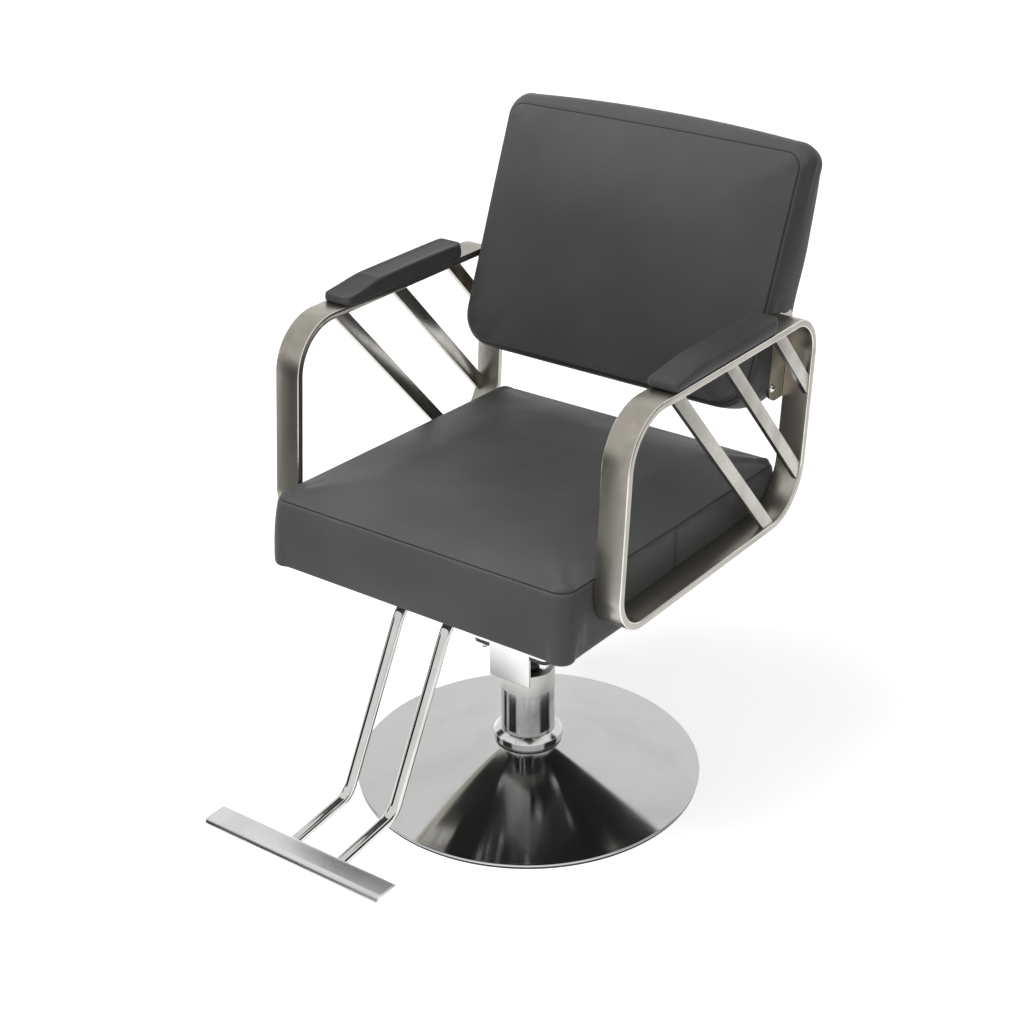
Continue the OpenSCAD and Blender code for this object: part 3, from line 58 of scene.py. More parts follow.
eye = Vector((1.4005, -1.9503, 1.6315))
turn, dip, roll = math.radians(35.9014), math.radians(26.9839), math.radians(-0.4301)
ahead = Vector((-math.sin(turn) * math.cos(dip), math.cos(turn) * math.cos(dip), -math.sin(dip)))
level = Vector((math.cos(turn), math.sin(turn), 0))
above = level.cross(ahead)
cam_right = level * math.cos(roll) + above * math.sin(roll)
cam_up = above * math.cos(roll) - level * math.sin(roll)
camera = placed("camera", bpy.data.cameras.new("camera"))
camera.matrix_world = (Matrix.Translation(eye)
                       @ Matrix((cam_right, cam_up, -ahead)).transposed().to_4x4())
camera.data.sensor_width = 36
camera.data.lens = 68.98
camera.data.shift_x = -0.0080
camera.data.shift_y = 0.00467
camera.data.clip_end = 100
bpy.context.scene.camera = camera

# ---------------------------------------------------------------------------------------------
# Studio
# A pale seamless floor, a soft even room and two large soft lamps. Dark cards are seen by
# polished metal alone, to draw the edges of chrome, and two black flags shade seat and back.
bpy.context.scene.view_settings.view_transform = "Standard"


def open_finish(name, colour, roughness, metallic=0.0):
    """Starts a material and gives it with its nodes, its links and its shader."""
    finish = bpy.data.materials.new(name)
    finish.use_nodes = True
    tree = finish.node_tree
    shader = tree.nodes["Principled BSDF"]
    shader.inputs["Base Color"].default_value = (*colour, 1)
    shader.inputs["Roughness"].default_value = roughness
    shader.inputs["Metallic"].default_value = metallic
    return finish, tree, shader


def feed(tree, socket, value):
    """Links a socket to another one, or gives it a plain value."""
    if isinstance(value, bpy.types.NodeSocket):
        tree.links.new(value, socket)
    else:
        socket.default_value = value


def worked_out(tree, operation, *values):
    """The result of an operation on sockets or numbers."""
    node = tree.nodes.new("ShaderNodeMath")
    node.operation = operation
    for socket, value in zip(node.inputs, values):
        feed(tree, socket, value)
    return node.outputs[0]


def background_rays(tree):
    """A value of 1 for what the camera, polished metal and glass see directly."""
    rays = tree.nodes.new("ShaderNodeLightPath").outputs
    seen = worked_out(tree, "MAXIMUM", rays["Is Camera Ray"], rays["Is Glossy Ray"])
    return worked_out(tree, "MAXIMUM", seen, rays["Is Transmission Ray"])


room = bpy.data.worlds.new("room")
bpy.context.scene.world = room
room.use_nodes = True
room_tree = room.node_tree
soft_light = room_tree.nodes["Background"]
soft_light.inputs["Color"].default_value = (0.97, 0.985, 1.0, 1)
soft_light.inputs["Strength"].default_value = 0.40
white = room_tree.nodes.new("ShaderNodeBackground")
white.inputs["Color"].default_value = (1, 1, 1, 1)
white.inputs["Strength"].default_value = 1.0
room_mix = room_tree.nodes.new("ShaderNodeMixShader")
room_tree.links.new(background_rays(room_tree), room_mix.inputs["Fac"])
room_tree.links.new(soft_light.outputs[0], room_mix.inputs[1])
room_tree.links.new(white.outputs[0], room_mix.inputs[2])
room_tree.links.new(room_mix.outputs[0], room_tree.nodes["World Output"].inputs["Surface"])

floor_half, floor_strength = 30.0, 0.70
floor_mesh = bpy.data.meshes.new("studio_floor")
floor_mesh.from_pydata(
    [(x * floor_half, y * floor_half, 0) for x, y in ((-1, -1), (1, -1), (1, 1), (-1, 1))], [],
    [(0, 1, 2, 3)])
studio_floor = placed("studio_floor", floor_mesh)
floor_finish, floor_tree, floor_shader = open_finish("studio_floor", (0.74, 0.74, 0.74), 0.9)
floor_glow = floor_tree.nodes.new("ShaderNodeEmission")
floor_level = worked_out(floor_tree, "MULTIPLY", background_rays(floor_tree), floor_strength)
floor_tree.links.new(floor_level, floor_glow.inputs["Strength"])
floor_sum = floor_tree.nodes.new("ShaderNodeAddShader")
floor_tree.links.new(floor_shader.outputs[0], floor_sum.inputs[0])
floor_tree.links.new(floor_glow.outputs[0], floor_sum.inputs[1])
floor_tree.links.new(floor_sum.outputs[0], floor_tree.nodes["Material Output"].inputs["Surface"])
floor_mesh.materials.append(floor_finish)


def hang_lamp(name, place, aim, size, power):
    """A square soft lamp that shines from a place to a point."""
    lamp = bpy.data.lights.new(name, "AREA")
    lamp.shape = "SQUARE"
    lamp.size = size
    lamp.energy = power
    holder = placed(name, lamp)
    holder.location = place
    holder.rotation_euler = (Vector(aim) - Vector(place)).to_track_quat("-Z", "Y").to_euler()
    holder.visible_glossy = False


hang_lamp("key_lamp", (-0.8, -1.15, 3.4), (0, -0.1, 0.45), 2.2, 122)
hang_lamp("fill_lamp", (2.2, -1.4, 2.2), (0, 0, 0.45), 1.8, 10)


def black_sheet(name, corners, meets):
    """A black sheet out of the camera's sight that one kind of light meets: what polished metal
    mirrors, the soft light of the room, or the light of the lamps."""
    sheet = bpy.data.meshes.new(name)
    sheet.from_pydata(corners, [], [(0, 1, 2, 3)])
    sheet.materials.append(open_finish(name, (0.02, 0.02, 0.02), 1.0)[0])
    card = placed(name, sheet)
    card.visible_camera = False
    card.visible_glossy = meets == "metal"
    card.visible_diffuse = meets == "room"
    card.visible_shadow = meets == "lamps"


def dark_card(name, middle, half_w, half_h, facing, lying=False):
    """A dark card, upright or lying on the floor, that only polished metal sees."""
    ahead_of = Vector((facing[0], facing[1], 0)).normalized()
    side = Vector((-facing[1], facing[0], 0)).normalized() * half_w
    up = ahead_of * half_h if lying else Vector((0, 0, half_h))
    mid = Vector(middle)
    black_sheet(name, [mid - side - up, mid + side - up, mid + side + up, mid - side + up],
                "metal")


black_sheet("rear_flag", [(-2.4, 1.25, 0.05), (2.4, 1.25, 0.05), (2.4, 1.6, 2.9),
                          (-2.4, 1.6, 2.9)], "room")
black_sheet("seat_flag", [(-0.55, -0.30, 1.2), (0.35, -0.30, 1.2), (0.35, 0.02, 1.2),
                          (-0.55, 0.02, 1.2)], "lamps")
dark_card("left_floor_card", (-0.66, -1.30, 0.003), 0.86, 0.38, (0.56, 0.83), lying=True)
dark_card("left_low_card", (-1.06, -1.56, 0.50), 0.62, 0.50, (0.56, 0.83))
dark_card("right_low_card", (1.62, 0.46, 0.50), 0.60, 0.50, (-0.96, -0.27))
dark_card("left_card", (-2.6, -0.6, 1.0), 0.45, 1.0, (1, 0.25))
dark_card("right_card", (2.1, 1.7, 1.0), 0.40, 1.0, (-1, -0.8))

# ---------------------------------------------------------------------------------------------
# Round base
# A spun steel dish with a rolled rim, polished and chromed, over a floor plate and a cast
# weight. A flat ring closes its neck, and a rubber ring under the rim stands on the floor.
base_r, rim_z, dish_t = 0.250, 0.006, 0.002
neck_r, neck_z, column_r = 0.047, 0.054, 0.0385


def shade_group(name, inputs, outputs):
    """Starts a shader group with named sockets, and gives its tree, its input and its output."""
    tree = bpy.data.node_groups.new(name, "ShaderNodeTree")
    for socket, kind, value in inputs:
        made = tree.interface.new_socket(name=socket, in_out="INPUT", socket_type=kind)
        if value is not None:
            made.default_value = value
    for socket, kind in outputs:
        tree.interface.new_socket(name=socket, in_out="OUTPUT", socket_type=kind)
    return tree, tree.nodes.new("NodeGroupInput"), tree.nodes.new("NodeGroupOutput")


def blend_colours(tree, factor, first, second):
    """Mixes two colours by a factor; each may be a socket or a plain colour."""
    mix = tree.nodes.new("ShaderNodeMix")
    mix.data_type = "RGBA"
    feed(tree, mix.inputs[0], factor)
    for socket, value in ((mix.inputs[6], first), (mix.inputs[7], second)):
        feed(tree, socket, (*value, 1) if isinstance(value, tuple) else value)
    return mix.outputs[2]


def spread(tree, value, low, high, to_low, to_high):
    """Maps a value from one range to another; the new range may be sockets or numbers."""
    fit = tree.nodes.new("ShaderNodeMapRange")
    for name, end in (("Value", value), ("From Min", low), ("From Max", high),
                      ("To Min", to_low), ("To Max", to_high)):
        feed(tree, fit.inputs[name], end)
    return fit.outputs["Result"]


def noise(tree, vector, scale, detail):
    """A noise on a set of coordinates, at a scale."""
    node = tree.nodes.new("ShaderNodeTexNoise")
    node.inputs["Detail"].default_value = detail
    feed(tree, node.inputs["Vector"], vector)
    feed(tree, node.inputs["Scale"], scale)
    return node


# Handling marks: soft smudges and fine dust that change colour and gloss a little
COLOUR, NUMBER, ARROW = "NodeSocketColor", "NodeSocketFloat", "NodeSocketVector"
marks_tree, marks_in, marks_out = shade_group(
    "handling marks",
    [("Vector", ARROW, None), ("Size", NUMBER, 9.0), ("Clean", COLOUR, (1, 1, 1, 1)),
     ("Marked", COLOUR, (0.8, 0.8, 0.8, 1)), ("Smooth", NUMBER, 0.1), ("Rough", NUMBER, 0.3)],
    [("Colour", COLOUR), ("Roughness", NUMBER), ("Mask", NUMBER)])
cloud = noise(marks_tree, marks_in.outputs["Vector"], marks_in.outputs["Size"], 5)
cloud.inputs["Roughness"].default_value = 0.62
cloud.inputs["Distortion"].default_value = 0.6
mask = spread(marks_tree, cloud.outputs["Fac"], 0.42, 0.72, 0.0, 1.0)
marks_tree.links.new(
    blend_colours(marks_tree, mask, marks_in.outputs["Clean"], marks_in.outputs["Marked"]),
    marks_out.inputs["Colour"])
marks_tree.links.new(
    spread(marks_tree, mask, 0.0, 1.0, marks_in.outputs["Smooth"], marks_in.outputs["Rough"]),
    marks_out.inputs["Roughness"])
marks_tree.links.new(mask, marks_out.inputs["Mask"])


def place_group(tree, group, vector, **values):
    """Puts a shared group in a material on a set of coordinates, with its own values."""
    node = tree.nodes.new("ShaderNodeGroup")
    node.node_tree = group
    tree.links.new(vector, node.inputs["Vector"])
    for name, value in values.items():
        node.inputs[name.replace("_", " ")].default_value = value
    return node


def object_coordinates(tree, stretch=(1, 1, 1)):
    """The piece's own coordinates, in metres, stretched."""
    source = tree.nodes.new("ShaderNodeTexCoord")
    mapping = tree.nodes.new("ShaderNodeMapping")
    mapping.inputs["Scale"].default_value = stretch
    tree.links.new(source.outputs["Object"], mapping.inputs["Vector"])
    return mapping.outputs["Vector"]


def raise_bumps(tree, shader, height, strength, distance):
    """Turns a height into a bump on the shader."""
    bump = tree.nodes.new("ShaderNodeBump")
    bump.inputs["Strength"].default_value = strength
    bump.inputs["Distance"].default_value = distance
    tree.links.new(height, bump.inputs["Height"])
    tree.links.new(bump.outputs["Normal"], shader.inputs["Normal"])


def wear(tree, shader, place, size, clean, marked, smooth, rough):
    """Puts the handling marks on a shader, and gives their node."""
    marks = place_group(tree, marks_tree, place, Size=size, Clean=(*clean, 1),
                        Marked=(*marked, 1), Smooth=smooth, Rough=rough)
    tree.links.new(marks.outputs["Colour"], shader.inputs["Base Color"])
    tree.links.new(marks.outputs["Roughness"], shader.inputs["Roughness"])
    return marks


def polished(name, clean, marked, smooth, rough, size=7.0, grain=0.00003):
    """A plated mirror finish with faint smudges, and with the slow waves that polishing leaves."""
    finish, tree, shader = open_finish(name, clean, smooth, 1.0)
    place = object_coordinates(tree)
    wear(tree, shader, place, size, clean, marked, smooth, rough)
    raise_bumps(tree, shader, noise(tree, place, 30, 2).outputs["Fac"], 0.12, grain)
    return finish


def link_mesh(name, mesh, body, slot, *stands_for, smooth=35):
    """Adds a piece to the scene, shades it, ties it to its body and hides the nodes it stands for;
    its slot is not used.
    """
    mesh.shade_smooth()
    mesh.set_sharp_from_angle(angle=math.radians(smooth))
    piece = placed(name, mesh)
    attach(piece, body)
    if stands_for:
        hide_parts(*stands_for)
    return piece


def mesh_from(work, name, *finishes):
    """Ends a mesh under work, and gives it its finishes."""
    mesh = bpy.data.meshes.new(name)
    work.to_mesh(mesh)
    work.free()
    for finish in finishes:
        mesh.materials.append(finish)
    return mesh


def closed_mesh(name, points, faces, finish):
    """A mesh from points and faces, with doubles merged and its faces turned outwards."""
    work = bmesh.new()
    made = [work.verts.new(p) for p in points]
    for face in faces:
        work.faces.new([made[i] for i in face])
    bmesh.ops.remove_doubles(work, verts=work.verts, dist=1e-7)
    bmesh.ops.recalc_face_normals(work, faces=work.faces)
    return mesh_from(work, name, finish)


def arc(centre, radius, start, end, steps):
    """Points on an arc, in degrees."""
    return [(centre[0] + radius * math.cos(math.radians(start + (end - start) * i / steps)),
             centre[1] + radius * math.sin(math.radians(start + (end - start) * i / steps)))
            for i in range(steps + 1)]


def turned(name, outline, finish, steps=160, place=Matrix.Identity(4)):
    """A turned piece: a closed outline of radius and height, carried round the axis."""
    count = len(outline)
    points = [place @ Vector((r * math.cos(2 * math.pi * i / steps),
                              r * math.sin(2 * math.pi * i / steps), z))
              for i in range(steps) for r, z in outline]
    faces = [(i * count + k, (i + 1) % steps * count + k,
              (i + 1) % steps * count + (k + 1) % count, i * count + (k + 1) % count)
             for i in range(steps) for k in range(count)
             if max(outline[k][0], outline[(k + 1) % count][0]) > 1e-6]
    return closed_mesh(name, points, faces, finish)


chrome = polished("chrome plate", (0.54, 0.54, 0.535), (0.48, 0.48, 0.475), 0.09, 0.14)
ring_chrome = polished("ring chrome", (0.66, 0.66, 0.655), (0.56, 0.56, 0.55), 0.15, 0.22, 12)


def dish_top(r):
    """Height of the dish's upper face at a radius."""
    return rim_z + (neck_z - rim_z) * (base_r - r) / (base_r - neck_r)


spun = chrome.copy()
spun.name = "spun chrome"
spun_tree = spun.node_tree
spun_shader = spun_tree.nodes["Principled BSDF"]
spun_lines = spun_tree.nodes.new("ShaderNodeTangent")
spun_lines.direction_type = "RADIAL"
spun_lines.axis = "Z"
spun_tree.links.new(spun_lines.outputs["Tangent"], spun_shader.inputs["Tangent"])
spun_shader.inputs["Anisotropic"].default_value = 0.85
spun_shader.inputs["Anisotropic Rotation"].default_value = 0.25


def dish_side(first, last, steps, drop):
    """Points of the dish's upper face, or a drop below it, between two radii."""
    radii = [first + (last - first) * i / steps for i in range(steps + 1)]
    return [(r, dish_top(r) - drop) for r in radii]


rim_r, rim_start, rim_in, rim_foot, neck_play = 0.0018, 0.0028, 0.004, 0.0025, 0.0008
dish_fall = math.degrees(math.atan2(neck_z - rim_z, base_r - neck_r))
dish_line = [(column_r + neck_play, neck_z)]
dish_line += dish_side(neck_r, base_r - rim_start, 48, 0)
dish_line += arc((base_r - rim_r, dish_top(base_r - rim_r) - rim_r), rim_r, 90 - dish_fall, -80,
                 10)
dish_line += [(base_r - rim_in, rim_foot)]
dish_line += dish_side(base_r - rim_in, neck_r, 16, dish_t)
dish_line += [(column_r + neck_play, neck_z - dish_t)]
link_mesh("dish", turned("dish", dish_line, spun, 256), "base", "chrome", "base_dish")

neck_ring_r, neck_ring_z, ring_edge, ring_play = 0.046, 0.0565, 0.0005, 0.0004
ring_line = ([(column_r + ring_play, neck_z), (neck_ring_r, neck_z)]
             + arc((neck_ring_r - ring_edge, neck_ring_z - ring_edge), ring_edge, 0, 90, 4)
             + [(column_r + ring_play, neck_ring_z)])
link_mesh("lower_ring", turned("lower_ring", ring_line, ring_chrome), "base", "chrome", "neck_ring")

# Rubber floor ring, steel floor plate and cast weight keep their shapes


def dress(**finishes):
    """Gives solids of the frame their finishes."""
    for node, finish in finishes.items():
        mesh = nodes[node].data
        if not mesh.materials:
            mesh.materials.append(finish)
        for i in range(len(mesh.materials)):
            mesh.materials[i] = finish


def rough_coat(name, clean, marked, smooth, rough, metallic, size, grain, bump=0.4):
    """A plain finish with marks and a fine grain: rubber, cast iron, paint, steel or plastic."""
    finish, tree, shader = open_finish(name, clean, smooth, metallic)
    place = object_coordinates(tree)
    wear(tree, shader, place, size, clean, marked, smooth, rough)
    raise_bumps(tree, shader, noise(tree, place, 1 / grain, 3).outputs["Fac"], bump, grain / 6)
    return finish


rubber = rough_coat("black rubber", (0.018, 0.018, 0.019), (0.05, 0.048, 0.045), 0.55, 0.85, 0.0,
                    30, 0.0012)
steel = rough_coat("plain steel", (0.40, 0.40, 0.41), (0.26, 0.25, 0.24), 0.28, 0.5, 1.0, 25, 0.001)
iron = rough_coat("cast iron", (0.06, 0.06, 0.065), (0.12, 0.09, 0.07), 0.6, 0.9, 0.3, 20, 0.0025,
                  0.9)
dress(floor_trim=rubber, floor_plate=steel, ballast=iron)

# ---------------------------------------------------------------------------------------------
# Column
# A chromed tube round the pump, a turned collar with a bevel and a grub screw at its foot, and a
# satin cap with a wiper seal at its top.
collar_r, collar_z, bevel_r, bevel_z = 0.050, 0.0677, 0.0405, 0.0752
foot_round, edge_round, top_round, collar_play = 0.0012, 0.0016, 0.0010, 0.0001
collar_line = ([(column_r + collar_play, neck_ring_z), (collar_r - foot_round, neck_ring_z)]
               + arc((collar_r - foot_round, neck_ring_z + foot_round), foot_round, -90, 0, 5)
               + arc((collar_r - edge_round, collar_z - edge_round / 2), edge_round, 0, 38, 5)
               + arc((bevel_r + foot_round, bevel_z - top_round), top_round, 45, 100, 4)
               + [(column_r + collar_play, bevel_z)])
link_mesh("collar_ring", turned("collar_ring", collar_line, ring_chrome), "base", "chrome",
          "collar")
black_oxide = rough_coat("black oxide", (0.03, 0.03, 0.032), (0.08, 0.07, 0.06), 0.35, 0.6, 0.6,
                         60, 0.0006)
link_mesh("collar_grub_screw", turned(
    "collar_grub_screw",
    [(0, 0.0015), (0.0012, 0.0015), (0.0014, 0), (0.0021, 0), (0.0024, -0.0003), (0.0024, -0.008),
     (0, -0.008)],
    black_oxide,
    24, Matrix.Translation((collar_r - 0.0012, 0, 0.062)) @ Matrix.Rotation(math.pi / 2, 4, "Y")),
    "base", "black_paint", "collar_screw")

# Brushed finish: fine lines along one direction, for satin and stainless pieces
brush_tree, brush_in, brush_out = shade_group(
    "brushed lines",
    [("Vector", ARROW, None), ("Size", NUMBER, 60.0)], [("Tone", NUMBER), ("Height", NUMBER)])
coarse = noise(brush_tree, brush_in.outputs["Vector"], brush_in.outputs["Size"], 4)
coarse.inputs["Roughness"].default_value = 0.7
brush_tree.links.new(spread(brush_tree, coarse.outputs["Fac"], 0.3, 0.7, 0.0, 1.0),
                     brush_out.inputs["Tone"])
brush_tree.links.new(coarse.outputs["Fac"], brush_out.inputs["Height"])


def brushed(name, light, dark, smooth, rough, stretch, use_uv=False, bump=0.35):
    """A metal brushed along one direction, with faint marks over it. On a bent bar, the lines
    follow the length that is laid out on its faces."""
    finish, tree, shader = open_finish(name, light, smooth, 1.0)
    along = object_coordinates(tree, stretch)
    if use_uv:
        laid_out = tree.nodes.new("ShaderNodeUVMap")
        laid_out.uv_map = "length"
        tree.links.new(laid_out.outputs["UV"], along.node.inputs["Vector"])
    lines = place_group(tree, brush_tree, along, Size=1.0)
    marks = wear(tree, shader, object_coordinates(tree), 11, light, dark, smooth, rough)
    tree.links.new(
        blend_colours(tree, spread(tree, lines.outputs["Tone"], 0, 1, 0.35, 0.0),
                      marks.outputs["Colour"], dark), shader.inputs["Base Color"])
    tree.links.new(worked_out(tree, "MULTIPLY_ADD", lines.outputs["Tone"], 0.07,
                              marks.outputs["Roughness"]), shader.inputs["Roughness"])
    raise_bumps(tree, shader, lines.outputs["Height"], bump, 0.00005)
    return finish


# The column's colour turns darker in broad upright streaks, a painted reflection of the dark
# stripes the chromed tube mirrors. Its smudges darken towards the same dark grey.
column_chrome_painted_streaks = brushed("column chrome", (0.62, 0.63, 0.64), (0.20, 0.20, 0.18), 0.09, 0.15,
                      (70, 70, 0.5), bump=0.05)
dress(column_shell=column_chrome_painted_streaks)
cap_r, cap_z, seal_r, shell_top = 0.039, 0.1745, 0.019, 0.142
cap_bore, cap_in, cap_foot, cap_t, cap_edge = 0.034, 0.0368, 0.134, 0.0055, 0.0014
satin = brushed("satin cap", (0.54, 0.53, 0.505), (0.45, 0.44, 0.42), 0.26, 0.38, (2, 2, 900))
cap_line = ([(seal_r, cap_z - cap_t), (cap_bore, cap_z - cap_t), (cap_bore, cap_foot),
             (cap_in, cap_foot), (cap_in, shell_top), (cap_r, shell_top + 0.0002)]
            + arc((cap_r - cap_edge, cap_z - cap_edge), cap_edge, 0, 90, 6) + [(seal_r, cap_z)])
link_mesh("cap", turned("cap", cap_line, satin), "base", "satin", "column_cap")
bronze = rough_coat("bearing bronze", (0.55, 0.38, 0.17), (0.35, 0.22, 0.1), 0.25, 0.5, 1.0, 30,
                    0.0015)
zinc = rough_coat("zinc plate", (0.58, 0.585, 0.59), (0.42, 0.42, 0.40), 0.2, 0.42, 1.0, 80, 0.0008)
black_paint = rough_coat("black paint", (0.022, 0.022, 0.023), (0.05, 0.05, 0.048), 0.35, 0.6, 0.0,
                         40, 0.0011)
dress(wiper_seal=rubber, pump_body=iron, foot_bolts=zinc, guide_bush=bronze, ram=chrome,
      ram_piston=bronze, piston_seal=rubber, thrust_collar=black_oxide,
      thrust_washer=black_oxide, top_washer=zinc, top_screw=zinc, swivel_hub=black_oxide,
      hub_plate=black_paint)

# ---------------------------------------------------------------------------------------------
# Pump lever
# A chromed steel bar on a pin in a painted bracket behind the column. A ribbed rubber pad covers
# its pedal, and its round nose lifts the plunger against a spring.
dress(lever_bracket=black_paint, lever_pin=zinc, pump_plunger=steel, pump_lever=chrome,
      pedal_pad=rubber, plunger_spring=steel)

# ---------------------------------------------------------------------------------------------
# Pedestal
# A folded and welded box of steel in white paint, with a front plate that hangs over the column,
# and a flange that four bolts hold to the hub.
white_paint = rough_coat("white enamel", (0.96, 0.96, 0.95), (0.93, 0.93, 0.92), 0.3, 0.4, 0.7, 12,
                         0.0005, 0.02)


def plate_piece(name, outline, low, high, chamfer, axis, finish):
    """A flat plate: an outline in the plane across an axis, with small rounded edges."""
    work = bmesh.new()
    order = {"x": lambda u, v, d: (d, u, v), "y": lambda u, v, d: (u, d, v),
             "z": lambda u, v, d: (u, v, d)}[axis]
    first = [work.verts.new(order(u, v, low)) for u, v in outline]
    second = [work.verts.new(order(u, v, high)) for u, v in outline]
    count = len(outline)
    for i in range(count):
        work.faces.new((first[i], first[(i + 1) % count], second[(i + 1) % count], second[i]))
    ends = [work.faces.new(first), work.faces.new(second)]
    rims = [e for f in ends for e in f.edges]
    bmesh.ops.bevel(work, geom=rims, offset=chamfer, segments=2, profile=0.5, affect="EDGES")
    bmesh.ops.recalc_face_normals(work, faces=work.faces)
    return mesh_from(work, name, finish)


def rounded_corners(corners, radii, steps=8):
    """A closed outline with rounded corners, from its sharp corners and their radii."""
    line = []
    count = len(corners)
    for i, (corner, radius) in enumerate(zip(corners, radii)):
        here = Vector(corner)
        back = (Vector(corners[i - 1]) - here).normalized()
        on = (Vector(corners[(i + 1) % count]) - here).normalized()
        half = back.angle(on) / 2
        if radius <= 0:
            line.append(tuple(here))
            continue
        centre = here + (back + on).normalized() * radius / math.sin(half)
        start = here + back * radius / math.tan(half) - centre
        end = here + on * radius / math.tan(half) - centre
        a0 = math.atan2(start.y, start.x)
        sweep = (math.atan2(end.y, end.x) - a0 + math.pi) % (2 * math.pi) - math.pi
        line += [(centre.x + radius * math.cos(a0 + sweep * k / steps),
                  centre.y + radius * math.sin(a0 + sweep * k / steps))
                 for k in range(steps + 1)]
    return line


dress(pedestal=white_paint)
low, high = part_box("front_plate")
front_top, front_round = high.z - 0.0006, 0.0012
front_line = rounded_corners([(low.x, low.z), (high.x, low.z), (high.x, front_top),
                              (low.x, front_top)], [front_round] * 4, 3)
link_mesh("front_cover", plate_piece("front_cover", front_line, low.y, high.y, 0.0007, "y",
                                     white_paint), "seat", "white_paint", "front_plate")

# Hex bolts of the flange: a forged head on a washer face above, a flanged nut below the plates


def ring_faces(rows, count):
    """Faces of a closed skin over rows of points: between the rows, and over both ends."""
    faces = [(k * count + i, k * count + (i + 1) % count, (k + 1) * count + (i + 1) % count,
              (k + 1) * count + i) for k in range(rows - 1) for i in range(count)]
    return faces + [tuple(range(count)), tuple((rows - 1) * count + i for i in range(count))]


def ring_stack(name, rings, sides, finish):
    """A closed bolt-like piece from rings of height, radius and whether they are hexagonal."""
    points = []
    for z, r, hexagonal in rings:
        for i in range(sides):
            a = 2 * math.pi * i / sides
            flat = math.cos(math.pi / 6) / math.cos((a % (math.pi / 3)) - math.pi / 6)
            radius = r * flat if hexagonal else r
            points.append((radius * math.cos(a), radius * math.sin(a), z))
    return closed_mesh(name, points, ring_faces(len(rings), sides), finish)


def geometry_tree(name, *inputs):
    """Starts a tree of geometry nodes, and gives it with its ends and its input sockets."""
    tree = bpy.data.node_groups.new(name, "GeometryNodeTree")
    tree.interface.new_socket(name="Geometry", in_out="OUTPUT",
                              socket_type="NodeSocketGeometry")
    sockets = [tree.interface.new_socket(name=label, in_out="INPUT",
                                         socket_type="NodeSocket" + kind)
               for label, kind in inputs]
    return tree, tree.nodes.new("NodeGroupInput"), tree.nodes.new("NodeGroupOutput"), sockets


def named_attribute(tree, kind, name):
    """The value of an attribute of the mesh that a tree works on."""
    node = tree.nodes.new("GeometryNodeInputNamedAttribute")
    node.data_type = kind
    node.inputs["Name"].default_value = name
    return node.outputs["Attribute"]


def applied(thing):
    """The mesh of an object with its modifiers applied; the object goes."""
    bpy.context.view_layer.update()
    mesh = bpy.data.meshes.new_from_object(
        thing.evaluated_get(bpy.context.evaluated_depsgraph_get()))
    bpy.data.objects.remove(thing)
    return mesh


def made_by_nodes(name, base, tree, **values):
    """The mesh that a node tree makes from a base mesh, with values for its inputs."""
    holder = placed(name + "_holder", base)
    modifier = holder.modifiers.new("nodes", "NODES")
    modifier.node_group = tree
    for socket in tree.interface.items_tree:
        if socket.in_out == "INPUT" and socket.name.replace(" ", "_") in values:
            modifier[socket.identifier] = values[socket.name.replace(" ", "_")]
    return applied(holder)


def set_out(name, spots, piece_mesh, finish, body, slot, *stands_for, smooth=30):
    """Sets copies of a piece out on spots, each a place and a turn, with a node tree, and joins
    them to one mesh."""
    tree, group_in, group_out, sockets = geometry_tree(
        name, ("Spots", "Geometry"), ("Size", "Float"))
    sockets[1].default_value = 1.0
    source = placed(name + "_one", piece_mesh)
    add, wire = tree.nodes.new, tree.links.new
    one = add("GeometryNodeObjectInfo")
    one.inputs["Object"].default_value = source
    to_points, copies = add("GeometryNodeMeshToPoints"), add("GeometryNodeInstanceOnPoints")
    real, coat = add("GeometryNodeRealizeInstances"), add("GeometryNodeSetMaterial")
    coat.inputs["Material"].default_value = finish
    wire(group_in.outputs["Spots"], to_points.inputs["Mesh"])
    wire(to_points.outputs["Points"], copies.inputs["Points"])
    wire(one.outputs["Geometry"], copies.inputs["Instance"])
    wire(named_attribute(tree, "FLOAT_VECTOR", "turn"), copies.inputs["Rotation"])
    wire(group_in.outputs["Size"], copies.inputs["Scale"])
    wire(copies.outputs["Instances"], real.inputs["Geometry"])
    wire(real.outputs["Geometry"], coat.inputs["Geometry"])
    wire(coat.outputs["Geometry"], group_out.inputs["Geometry"])
    base = bpy.data.meshes.new(name + "_spots")
    base.from_pydata([place for place, turned_to in spots], [], [])
    turns = base.attributes.new("turn", "FLOAT_VECTOR", "POINT")
    for i, (place, turned_to) in enumerate(spots):
        turns.data[i].vector = turned_to
    mesh = made_by_nodes(name, base, tree, Size=1.0)
    mesh.name = name
    bpy.data.objects.remove(source)
    if not mesh.materials:
        mesh.materials.append(finish)
    if "turn" in mesh.attributes:
        mesh.attributes.remove(mesh.attributes["turn"])
    return link_mesh(name, mesh, body, slot, *stands_for, smooth=smooth)


def turn_to(direction, spin=0.0):
    """Euler angles that carry +Z to a direction, after a spin about it."""
    direction = Vector(direction).normalized()
    base = Vector((0, 0, 1)).rotation_difference(direction)
    return (base.to_matrix() @ Matrix.Rotation(math.radians(spin), 3, "Z")).to_euler()


